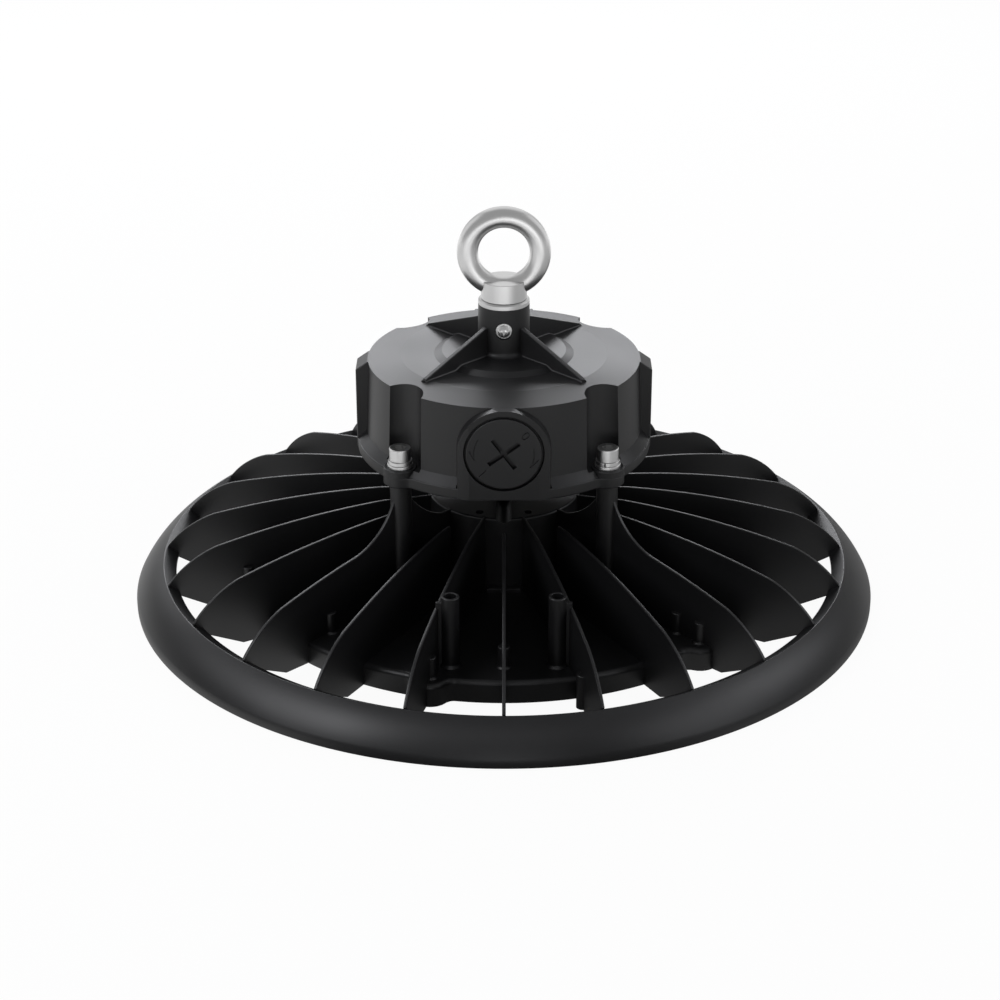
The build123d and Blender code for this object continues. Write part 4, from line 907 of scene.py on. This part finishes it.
class AccessoryPostsOperator(bpy.types.Operator):
    """Two hollow posts beside the front fins, each with a web"""

    bl_idname = "high_bay.accessory_posts"
    bl_label = "Accessory posts"

    def execute(self, context):
        s = context.scene.high_bay_heatsink
        floor = s.plate_top - 0.2 * MM
        outer, bore, top = 4.1 * MM, 2.8 * MM, s.accessory_top
        post = lathe("post", profile([(0.0, floor), (outer + 1.2 * MM, floor), (outer, s.plate_top + 1.2 * MM),
                                      (outer, top), (bore, top), (bore, top - 18.0 * MM), (0.0, top - 18.0 * MM)],
                                     {2: 1.2 * MM, 3: 0.6 * MM, 4: 0.3 * MM}), 48)
        web = brick("web", (0.0, -1.0 * MM, floor), (outer + 2.5 * MM, 1.0 * MM, top - 3.0 * MM))
        left = [at(side * s.accessory_x, -s.accessory_y) @ turn_z(0 if side > 0 else math.pi) for side in (-1, 1)]
        web = combine(soften(web, 0.4 * MM), drum("bore", bore + 0.6 * MM, 0.0, top, 32))
        finish(repeat("accessory_posts", join("post", [post, web]), left), "heatsink", powder_coat)
        return {"FINISHED"}


# The driver box

def skirt_piece(s, pitch_r):
    """Flange with four lugs blended into it."""
    skirt = bossed_plate("skirt", s.bottom, s.skirt_top, 480, s.skirt_r, pitch_r, s.lug_r, 5.0 * MM, POST_TURNS)
    soften(skirt, 0.6 * MM, 3, 50)
    lug = lathe("lug", profile([(0.0, s.bottom + MM), (s.lug_r - 0.1 * MM, s.bottom + MM),
                                (s.lug_r - 0.1 * MM, s.lug_top), (0.0, s.lug_top)], {2: 0.6 * MM}), 64)
    lugs = repeat("lugs", lug, [on_circle(pitch_r, turn) for turn in POST_TURNS])
    return [skirt, lugs]


def shell_piece(s, pitch_r):
    """Tapered wall and lid with a scallop over each lug."""
    foot_r = s.skirt_r - 0.3 * MM
    shell = lathe("shell", [(0.0, s.bottom), (foot_r, s.bottom), (foot_r, s.skirt_top - 0.2 * MM),
                            (s.wall_r, s.wall_z), (s.lid_r, s.lid_edge_z), (s.lid_flat_r, s.lid_z),
                            (s.disc_r, s.lid_z), (s.disc_top_r, s.disc_z), (0.0, s.disc_z)], 120)
    for turn in POST_TURNS:
        scallop = drum("scallop", s.scallop_r, s.lug_top - 0.6 * MM, s.stem_top, 72)
        combine(shell, place(scallop, on_circle(pitch_r, turn)))
    return [crisp(soften(shell, 0.7 * MM, 3, 40), (s.lid_flat_r, s.disc_r, s.disc_top_r), s.lid_edge_z)]


def face_half(s):
    """Half the width of the front pad's flat face, where it meets the round flange."""
    return math.sqrt(s.skirt_r ** 2 - s.pad_face_y ** 2)


def make_room_for_pads(part, s):
    """Cut a round part back where the flat pads show, with a slanted notch on each side of the front pad."""
    low, half = s.bottom - MM, face_half(s) + 0.1 * MM
    room = brick("front_room", (-half, -2 * s.skirt_r, low), (half, -64.0 * MM, s.pad_z))
    combine(part, room)
    reach, inner = s.pad_r + 5.0 * MM, s.pad_r + 0.2 * MM
    front, back = -75 * MM, -64.0 * MM
    notch = slab("notch", [(-reach, front), (reach, front), (inner, back), (-inner, back)], 12 * MM)
    place(notch, at(0, 0, s.skirt_top + 6 * MM) @ Matrix.Rotation(math.radians(-90), 4, "X"))
    combine(part, notch)
    room = brick("back_room", (-16 * MM, s.pad_face_y - 0.05 * MM, low), (16 * MM, 2 * s.skirt_r, s.lid_edge_z))
    combine(part, room)
    return part


def rib_piece(s):
    """Four sloping ribs that brace the stem, each with a fillet along its foot."""
    inner, outer = s.stem_r - 3.0 * MM, s.lid_flat_r + 2.7 * MM
    low, peak = s.lid_z - 2.0 * MM, s.stem_top - 9.1 * MM
    side = [(inner, low), (outer, low), (outer, s.lid_z + MM), (s.stem_r, peak), (inner, peak)]
    rib = slab("rib", side, s.rib_t)
    half, fillet = s.rib_t / 2, s.rib_fillet
    curve = [(half + fillet - fillet * math.sin(t), fillet - fillet * math.cos(t))
             for t in (math.radians(18 * i) for i in range(6))]
    section = [Vector((0, y, z)) for y, z in [(half + fillet, -fillet)] + curve]
    section += [Vector((0, -point.y, point.z)) for point in reversed(section)]
    slope = (s.lid_z - s.lid_edge_z) / (s.lid_r - s.lid_flat_r)
    path = [Vector((x, 0, z)) for x, z in ((outer + 0.4 * MM, s.lid_z - slope * (outer - s.lid_flat_r)),
                                           (s.lid_flat_r, s.lid_z), (s.disc_r, s.lid_z),
                                           (s.disc_top_r, s.disc_z), (inner, s.disc_z))]
    foot = sweep("rib_foot", section, path)
    rib = join("rib", [soften(rib, s.rib_round, 3), foot])
    return [repeat("ribs", rib, [turn_z(turn) for turn in POST_TURNS])]


def stem_piece(s):
    """Stem with a rounded foot and a flat for the lock screw."""
    foot = s.disc_z - 0.5 * MM
    foot_r = s.stem_r + 2.8 * MM
    stem = lathe("stem", profile([(0.0, foot), (foot_r, foot), (foot_r, s.disc_z + 0.05 * MM),
                                  (s.stem_r + 0.3 * MM, s.disc_z + 0.1 * MM), (s.stem_r, s.stem_top),
                                  (0.0, s.stem_top)], {3: 2.5 * MM, 4: 0.4 * MM}, 6), 96)
    spot = drum("lock_seat", 4.3 * MM, LOCK_FACE, 18.0 * MM, 48)
    return [combine(stem, place(spot, facing_front(0.0, LOCK_Z)))]


def side_pad_pieces(s):
    """Two narrow pads at the sides and the wide gland pad at the back."""
    inside, side_w, side_top = 50.0 * MM, 15.0 * MM, 114.2 * MM
    outline = [(inside, s.bottom), (s.skirt_r, s.bottom), (s.skirt_r, side_top), (s.lid_r, s.lid_edge_z),
               (inside, s.lid_edge_z)]
    pad = soften(slab("side_pad", outline, side_w), 0.6 * MM, 3)
    pads = repeat("side_pads", pad, [Matrix.Identity(4), turn_z(math.pi)])
    gland_half, gland_top = 14.6 * MM, 117.0 * MM
    gland_pad = brick("gland_pad", (-gland_half, inside, s.bottom), (gland_half, s.pad_face_y, gland_top))
    return [pads, soften(gland_pad, 0.6 * MM, 3)]


def front_pad_piece(s):
    """Arched pad with drafted sides, its flat face and the recess for the cap."""
    crown = arc((s.pad_r, s.pad_z), (0.0, s.pad_z + s.pad_r), (-s.pad_r, s.pad_z), 48)
    outline = [(s.pad_r, s.bottom)] + crown + [(-s.pad_r, s.bottom)]
    depth = 14.0 * MM
    pad = wire("front_pad", [Vector((x, -s.skirt_r, z)) for x, z in outline])
    bpy.ops.mesh.edge_face_add()
    draft = 1 + depth * math.tan(math.radians(5)) / s.pad_r
    bpy.ops.mesh.extrude_region_move(TRANSFORM_OT_translate={"value": (0, depth, 0)})
    bpy.ops.transform.resize(value=(draft, 1, draft), center_override=(0, 0, s.pad_z))
    tidy_shell()
    limit = drum("limit", s.skirt_r + 0.03 * MM, s.bottom, s.lid_edge_z, 480)
    combine(pad, limit, "INTERSECT")
    face = brick("face", (-40 * MM, -90 * MM, 60 * MM), (40 * MM, -s.pad_face_y, 130 * MM))
    soften(combine(pad, face), s.pad_round, 4, 40)
    recess = place(drum("recess", s.recess_r, 0.0, 10 * MM, 128),
                   facing_front(-s.pad_face_y + s.recess_d, s.pad_z))
    soften(combine(pad, recess), 0.4 * MM, 2, 60)
    return [crisp_uprights(pad, face_half(s) + 0.2 * MM, -s.pad_face_y)]


class HousingOperator(bpy.types.Operator):
    """Driver box: flange with lugs, scalloped wall and lid, pads, ribs and stem"""

    bl_idname = "high_bay.housing"
    bl_label = "Driver box"

    def execute(self, context):
        s = context.scene.high_bay_housing
        pitch_r = context.scene.high_bay_heatsink.post_pitch_r
        parts = skirt_piece(s, pitch_r) + shell_piece(s, pitch_r)
        for part in parts:
            make_room_for_pads(part, s)
        parts += rib_piece(s) + stem_piece(s) + side_pad_pieces(s) + front_pad_piece(s)
        finish(join("driver_box", parts), "driver_housing", powder_coat)
        return {"FINISHED"}


def curved_line(radius, first, last, width, steps=16):
    """Outline of a thin line that follows a circle between two angles in degrees."""
    turns = [math.radians(first + (last - first) * i / steps) for i in range(steps + 1)]
    sides = [[(r * math.cos(t), r * math.sin(t)) for t in turns] for r in (radius + width / 2, radius - width / 2)]
    return sides[0] + sides[1][::-1]


def straight_line(start, end, width):
    """Outline of a thin straight line."""
    start, end = Vector(start), Vector(end)
    side = (end - start).orthogonal().normalized() * width / 2
    return [tuple(corner) for corner in (start + side, end + side, end - side, start - side)]


def polar(radius, degrees):
    """Point on a circle round the cap's middle."""
    return (radius * math.cos(math.radians(degrees)), radius * math.sin(math.radians(degrees)))


def numeral(digit, height, depth):
    """One engraved numeral as a tool, standing on Z = 0 and centred."""
    rest()
    bpy.ops.object.text_add()
    text = bpy.context.object
    text.data.body = digit
    text.data.size = height / DIGIT_SHARE
    text.data.extrude = depth
    text.data.align_x = "CENTER"
    text.data.align_y = "CENTER"
    bpy.ops.object.convert(target="MESH")
    piece = name_new("numeral")
    edit(piece)
    tidy_shell()
    return piece


class CapOperator(bpy.types.Operator):
    """Turning access cap with its cross slot, two arrows and two numerals"""

    bl_idname = "high_bay.cap"
    bl_label = "Access cap"

    def execute(self, context):
        s = context.scene.high_bay_cap
        box = context.scene.high_bay_housing
        radius = CAP_BOX[1].x
        cap = lathe("turning_cap", profile([(0.0, -s.thickness), (s.plug_r, -s.thickness), (s.plug_r, -s.flange_t),
                                            (radius, -s.flange_t), (radius, 0.0), (0.0, 0.0)],
                                           {4: 0.45 * MM}), 128)
        for turn in (36, 126):
            arm = brick("arm", (-s.slot_half, -s.slot_w / 2, -s.slot_depth), (s.slot_half, s.slot_w / 2, MM))
            combine(cap, place(arm, turn_z(math.radians(turn))))
        for first, last, barb in ((148, 192, (1.16, 174)), (13, -28, (1.16, -10))):
            for outline in (curved_line(s.mark_r, first, last, s.mark_w),
                            straight_line(polar(s.mark_r, last), polar(s.mark_r * barb[0], barb[1]), s.mark_w)):
                line = place(slab("line", outline, 2 * s.mark_depth), Matrix.Rotation(math.radians(-90), 4, "X"))
                combine(cap, line)
        for digit, spot, lean in (("0", 43, 138), ("1", 224, -45)):
            x, y = polar(s.mark_r, spot)
            sign = numeral(digit, s.numeral_h, s.mark_depth)
            combine(cap, place(sign, at(x, y) @ turn_z(math.radians(lean))))
        place(cap, facing_front(-box.pad_face_y, box.pad_z))
        finish(cap, "access_cap", moulded_nylon, CAP)
        return {"FINISHED"}


# Steel parts

class EyeOperator(bpy.types.Operator):
    """Forged lifting eye on its round foot, and the washer under it"""

    bl_idname = "high_bay.eye"
    bl_label = "Lifting eye"

    def execute(self, context):
        s = context.scene.high_bay_steel
        rest()
        bpy.ops.mesh.primitive_torus_add(major_radius=s.eye_r, minor_radius=s.eye_bar_r, major_segments=128,
                                         minor_segments=48, location=(0, 0, 0))
        centre_z = EYE_BOX[1].z - s.eye_r - s.eye_bar_r
        ring = place(name_new("ring"), at(0, 0, centre_z) @ Matrix.Rotation(math.radians(90), 4, "X"))
        neck_z = s.seat_z + s.neck_h
        collar = lathe("lifting_eye", profile([(0.0, s.seat_z), (s.collar_r, s.seat_z), (s.neck_r, neck_z),
                                               (0.0, neck_z)], {1: 0.4 * MM, 2: 0.25 * MM}), 96)
        finish(combine(collar, ring, "UNION"), "eye_bolt", satin_steel)
        box = context.scene.high_bay_housing
        bore, low = 6.0 * MM, box.stem_top
        washer = lathe("eye_seat", profile([(bore, low), (box.stem_r, low), (box.stem_r, s.seat_z - 0.6 * MM),
                                            (box.stem_r - 0.8 * MM, s.seat_z), (bore, s.seat_z), (bore, low)],
                                           {1: 0.15 * MM, 2: 0.2 * MM, 3: 0.2 * MM}), 96)
        finish(washer, "eye_washer", satin_steel)
        return {"FINISHED"}


class ScrewsOperator(bpy.types.Operator):
    """Socket head screws with spring and flat washers on the four lugs"""

    bl_idname = "high_bay.screws"
    bl_label = "Screws and washers"

    def execute(self, context):
        s = context.scene.high_bay_steel
        pitch_r = context.scene.high_bay_heatsink.post_pitch_r
        spots = [on_circle(pitch_r, turn) @ turn_z(turn) for turn in POST_TURNS]
        seat = context.scene.high_bay_housing.lug_top
        flat_top = seat + s.washer_t
        spring_top = flat_top + s.spring_t
        head_top = spring_top + s.head_h
        flat = lathe("flat", profile([(s.bore_r, seat), (s.washer_r, seat), (s.washer_r, flat_top),
                                      (s.bore_r, flat_top), (s.bore_r, seat)], {1: 0.15 * MM, 2: 0.3 * MM}), 48)
        finish(repeat("plain_washers", flat, spots), "flat_washers", satin_steel)
        spring = lathe("spring", profile([(s.bore_r, flat_top), (s.spring_r, flat_top), (s.spring_r, spring_top),
                                          (s.bore_r, spring_top), (s.bore_r, flat_top)],
                                         {1: 0.2 * MM, 2: 0.2 * MM}), 48)
        gap = place(brick("gap", (0, -0.4 * MM, flat_top - MM), (8 * MM, 0.4 * MM, spring_top + MM)),
                    turn_z(math.radians(-60)))
        combine(spring, gap)
        finish(repeat("lock_washers", spring, spots), "spring_washers", satin_steel)
        shank = spring_top - 5 * MM
        head = lathe("head", profile([(0.0, shank), (s.bore_r, shank), (s.bore_r, spring_top),
                                      (s.head_r, spring_top), (s.head_r, head_top), (0.0, head_top)],
                                     {3: 0.2 * MM, 4: 0.45 * MM}), 72)
        key = drum("key", s.key_r, head_top - 3.0 * MM, head_top + MM, 6)
        combine(head, key)
        finish(repeat("socket_screws", head, spots), "mounting_screws", satin_steel)
        return {"FINISHED"}


class LockScrewOperator(bpy.types.Operator):
    """Pan head screw with a cross recess, and its washer, on the stem"""

    bl_idname = "high_bay.lock_screw"
    bl_label = "Lock screw"

    def execute(self, context):
        bore, washer_r, washer_t, head_r = 1.5 * MM, 3.8 * MM, 0.8 * MM, 2.9 * MM
        washer = lathe("washer", profile([(bore, 0.0), (washer_r, 0.0), (washer_r, washer_t), (bore, washer_t),
                                          (bore, 0.0)], {2: 0.3 * MM}), 48)
        place(washer, facing_front(-LOCK_FACE, LOCK_Z))
        finish(join("stem_washer", [washer]), "lock_washer", satin_steel)
        dome = arc((head_r, 1.6 * MM), (1.6 * MM, 2.65 * MM), (0.0, 2.8 * MM), 8)
        shank = [(0.0, 0.5 * MM), (bore, 0.5 * MM), (bore, washer_t), (head_r, washer_t)]
        screw = lathe("screw", shank + dome, 48)
        recess_half, recess_w, recess_floor = 1.6 * MM, 0.38 * MM, 1.5 * MM
        for turn in (0, 90):
            arm = brick("arm", (-recess_half, -recess_w, recess_floor), (recess_half, recess_w, 4.0 * MM))
            combine(screw, place(arm, turn_z(math.radians(turn))))
        place(screw, facing_front(-LOCK_FACE, LOCK_Z))
        finish(join("stem_screw", [screw]), "lock_screw", satin_steel)
        return {"FINISHED"}


# Finish of the CAD pieces that keep their own shape

KEPT_FINISHES = {
    "cap_o_ring": seal_rubber, "gland_seal": seal_rubber, "floor_grommet": seal_rubber, "hub_grommet": seal_rubber,
    "lead_sleeve": seal_rubber, "floor_gasket": cast_silicone, "lens_gasket": cast_silicone,
    "gland_body": moulded_nylon, "gland_nut": moulded_nylon, "gland_locknut": moulded_nylon,
    "breather_plug": moulded_nylon, "lens_screws": satin_steel, "floor_screws": zinc_plating,
    "board_screws": zinc_plating, "led_board_screws": zinc_plating, "floor_plate": rolled_aluminium,
    "driver_board": solder_mask, "board_spacers": turned_brass, "transformer_core": sintered_ferrite,
    "transformer_winding": polyester_tape, "bulk_capacitors": shrunk_sleeve, "choke": wound_copper,
    "terminal_block": moulded_terminal, "thermal_pad": woven_film, "led_board": white_mask,
    "led_chips": led_phosphor, "lens_plate": prismatic_lens,
}


class KeptPiecesOperator(bpy.types.Operator):
    """Finish of the CAD pieces that keep their shape"""

    bl_idname = "high_bay.kept_pieces"
    bl_label = "Kept pieces"

    def execute(self, context):
        for node, make in KEPT_FINISHES.items():
            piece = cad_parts[node]
            piece.data.materials.clear()
            piece.data.materials.append(material_of(make))
        return {"FINISHED"}


# Studio

STEEL_PIECES = ("lifting_eye", "eye_seat", "plain_washers", "lock_washers", "socket_screws", "stem_washer",
                "stem_screw")


class StageOperator(bpy.types.Operator):
    """Pale floor, softboxes, white surroundings and the photograph's camera"""

    bl_idname = "high_bay.stage"
    bl_label = "Studio"

    def execute(self, context):
        s = context.scene.high_bay_studio
        rest()
        bpy.ops.mesh.primitive_plane_add(size=12.0, location=(0, 0, -0.0002))
        floor = name_new("studio_floor")
        floor.data.materials.append(floor_white())
        softbox("back", 180, 23, 1.3, 0.42, 4.6)
        softbox("back_left", -150, 45, 0.6, 0.5, 3.3)
        softbox("rear_left", -140, 20, 0.7, 0.5, 1.4)
        softbox("left", -95, 30, 0.7, 0.6, 1.2)
        softbox("right", 95, 30, 0.7, 0.6, 2.7)
        softbox("right_high", 90, 60, 0.7, 0.6, 0.5)
        softbox("front_left", -60, 35, 0.7, 0.7, 4.6)
        softbox("front_right", 60, 27, 0.7, 0.8, 1.7)
        softbox("front", 0, 15, 0.5, 0.7, 1.2)
        softbox("front_high", 0, 50, 0.8, 0.6, 0.7)
        softbox("top", 0, 90, 1.0, 1.0, 0.2)
        for name, azimuth in (("front", 0), ("left", -90), ("right", 90), ("back", 180)):
            softbox("steel_" + name, azimuth, 0, 3.0, 3.0, 0.3, steel=True)
        softbox("steel_top", 0, 90, 3.0, 3.0, 0.3, steel=True)
        softbox("steel_strip", 12, 3, 0.75, 0.85, 0.7, steel=True)
        softbox("steel_card", 0, -18, 0.22, 0.08, 0.8, steel=True, distance=0.26)
        softbox("steel_rear_left", -108, 25, 1.2, 1.4, 0.4, steel=True)
        softbox("steel_rear_right", 108, 25, 1.2, 1.4, 0.4, steel=True)
        softbox("steel_rear", 180, 45, 1.5, 1.6, 0.3, steel=True)
        surroundings(context.scene)
        camera_data = bpy.data.cameras.new("photo_camera")
        camera_data.lens = s.focal
        camera_data.shift_x = s.frame_shift
        camera = bpy.data.objects.new("photo_camera", camera_data)
        camera.location = (0.0, -s.camera_back, s.camera_up)
        camera.rotation_euler = (math.radians(90) - s.camera_tilt, 0.0, 0.0)
        context.scene.collection.objects.link(camera)
        context.scene.camera = camera
        context.scene.view_settings.view_transform = "Standard"
        return {"FINISHED"}


def larger(nodes, first, second):
    """The larger of two values."""
    return add(nodes, "ShaderNodeMath", [(0, first), (1, second)], operation="MAXIMUM").outputs[0]


def ramp(nodes, value, low, high, start=0.0, end=1.0):
    """Soft change from one number to another while a value goes from low to high."""
    change = add(nodes, "ShaderNodeMapRange", [("Value", value)], interpolation_type="SMOOTHSTEP")
    for name, number in (("From Min", low), ("From Max", high), ("To Min", start), ("To Max", end)):
        change.inputs[name].default_value = number
    return change.outputs["Result"]


def blended(nodes, factor, first, second):
    """Mix of two numbers, each a constant or a socket."""
    mix = add(nodes, "ShaderNodeMix", [("Factor", factor)], data_type="FLOAT")
    for name, number in (("A", first), ("B", second)):
        if isinstance(number, float):
            mix.inputs[name].default_value = number
        else:
            nodes.id_data.links.new(number, mix.inputs[name])
    return mix.outputs["Result"]


def floor_white():
    """Matt white paper; seen directly it is white and keeps a trace of shadow. In reflections it glows instead
    with a painted pattern by place, brighter or darker in front, at the sides and behind: a painted reflection,
    not paper lit by the lamps.
    """
    material = bpy.data.materials.new("Studio_paper")
    material.use_nodes = True
    nodes = material.node_tree.nodes
    nodes.clear()
    path = add(nodes, "ShaderNodeLightPath")
    place_in = add(nodes, "ShaderNodeTexCoord").outputs["Object"]
    away = add(nodes, "ShaderNodeVectorMath", [(0, place_in)], operation="LENGTH").outputs["Value"]
    split = add(nodes, "ShaderNodeSeparateXYZ", [("Vector", place_in)])
    facing = add(nodes, "ShaderNodeMath", [(0, split.outputs["Y"]), (1, away)], operation="DIVIDE").outputs[0]
    # Painted reflection: glow strengths by place on the floor, seen only in reflections, in place of how the lamps
    # would light the paper.
    side = ramp(nodes, split.outputs["X"], -0.1, 0.1, 0.85, 0.6)
    far = blended(nodes, ramp(nodes, facing, -0.95, -0.6), 1.5, side)
    far = blended(nodes, ramp(nodes, facing, 0.3, 0.8), far, 1.3)
    sides, behind = (ramp(nodes, split.outputs["X"], -0.1, 0.1, left, right)
                     for left, right in ((0.95, 0.5), (0.7, 0.1)))
    near = blended(nodes, ramp(nodes, facing, -0.97, -0.8), 0.12, sides)
    near = blended(nodes, ramp(nodes, facing, 0.2, 0.8), near, behind)
    painted_reflection_glow = blended(nodes, ramp(nodes, away, 0.3, 0.6), near, far)
    seen = larger(nodes, path.outputs["Is Camera Ray"], path.outputs["Is Transmission Ray"])
    glow = add(nodes, "ShaderNodeEmission", [("Strength", blended(nodes, seen, painted_reflection_glow, 1.0))])
    glow.inputs["Color"].default_value = bpy.context.scene.high_bay_studio.backdrop
    paper = add(nodes, "ShaderNodeBsdfDiffuse")
    paper.inputs["Color"].default_value = (0.8, 0.8, 0.8, 1.0)
    share = blended(nodes, larger(nodes, seen, path.outputs["Is Glossy Ray"]), 0.0, 0.95)
    mix = add(nodes, "ShaderNodeMixShader", [("Fac", share), (1, paper.outputs[0]), (2, glow.outputs[0])])
    add(nodes, "ShaderNodeOutputMaterial", [("Surface", mix.outputs[0])])
    return material


def surroundings(scene):
    """White where it is seen directly or through the lens, dim in reflections and as light on the object."""
    world = bpy.data.worlds.new("studio_surroundings")
    world.use_nodes = True
    scene.world = world
    nodes = world.node_tree.nodes
    nodes.clear()
    path = add(nodes, "ShaderNodeLightPath")
    towards = add(nodes, "ShaderNodeTexCoord").outputs["Generated"]
    split = add(nodes, "ShaderNodeSeparateXYZ", [("Vector", towards)])
    dim = ramp(nodes, split.outputs["Y"], 0.3, 0.9, 0.06, 0.3)
    seen = larger(nodes, path.outputs["Is Camera Ray"], path.outputs["Is Transmission Ray"])
    white = add(nodes, "ShaderNodeBackground", [("Strength", blended(nodes, seen, dim, 1.0))])
    white.inputs["Color"].default_value = scene.high_bay_studio.backdrop
    add(nodes, "ShaderNodeOutputWorld", [("Surface", white.outputs[0])])


def steel_group(name, state):
    """Group of the steel pieces that a lamp either reaches alone or leaves out."""
    group = bpy.data.collections.get(name)
    if group:
        return group
    group = bpy.data.collections.new(name)
    for piece in STEEL_PIECES:
        group.objects.link(bpy.data.objects[piece])
    for row in group.collection_objects:
        row.light_linking.link_state = state
    return group


def softbox(name, azimuth, elevation, width, height, brightness, steel=False, distance=0.0):
    """Rectangular lamp that faces the light; azimuth 0 is in front, and positive to the right."""
    s = bpy.context.scene.high_bay_studio
    turn, rise = math.radians(azimuth), math.radians(elevation)
    outwards = Vector((math.sin(turn) * math.cos(rise), -math.cos(turn) * math.cos(rise), math.sin(rise)))
    data = bpy.data.lights.new(name + "_softbox", "AREA")
    data.shape = "RECTANGLE"
    data.size = width
    data.size_y = height
    data.energy = 4 * width * height * brightness * s.lamp_level
    if not steel:
        data.color = s.daylight[:3]
    lamp = bpy.data.objects.new(name + "_softbox", data)
    lamp.location = Vector((0, 0, CAD_BOX[1].z / 2)) + outwards * (distance or s.lamp_distance)
    lamp.rotation_euler = (-outwards).to_track_quat("-Z", "Y").to_euler()
    lamp.visible_camera = False
    bpy.context.scene.collection.objects.link(lamp)
    group = steel_group("steel_pieces", "INCLUDE") if steel else steel_group("all_but_steel", "EXCLUDE")
    lamp.light_linking.receiver_collection = group


class HighBayPanel(bpy.types.Panel):
    """Sidebar panel that lists the pieces"""

    bl_idname = "VIEW3D_PT_high_bay"
    bl_label = "High bay light"
    bl_space_type = "VIEW_3D"
    bl_region_type = "UI"
    bl_category = "High Bay"

    def draw(self, context):
        for operator in OPERATORS:
            self.layout.operator(operator.bl_idname)


GROUPS = (("high_bay_heatsink", HeatsinkSizes), ("high_bay_housing", HousingSizes), ("high_bay_cap", CapSizes),
          ("high_bay_steel", SteelSizes), ("high_bay_finish", Finishes), ("high_bay_studio", Studio))
OPERATORS = (RingOperator, FinsOperator, PlateOperator, HubOperator, AccessoryPostsOperator, HousingOperator,
             CapOperator, EyeOperator, ScrewsOperator, LockScrewOperator, KeptPiecesOperator, StageOperator)


def register():
    for name, group in GROUPS:
        bpy.utils.register_class(group)
        setattr(bpy.types.Scene, name, PointerProperty(type=group))
    for operator in OPERATORS:
        bpy.utils.register_class(operator)
    bpy.utils.register_class(HighBayPanel)


def unregister():
    bpy.utils.unregister_class(HighBayPanel)
    for operator in reversed(OPERATORS):
        bpy.utils.unregister_class(operator)
    for name, group in reversed(GROUPS):
        delattr(bpy.types.Scene, name)
        bpy.utils.unregister_class(group)


def main():
    register()
    for operator in OPERATORS:
        family, name = operator.bl_idname.split(".")
        getattr(getattr(bpy.ops, family), name)()


if __name__ == "__main__":
    main()
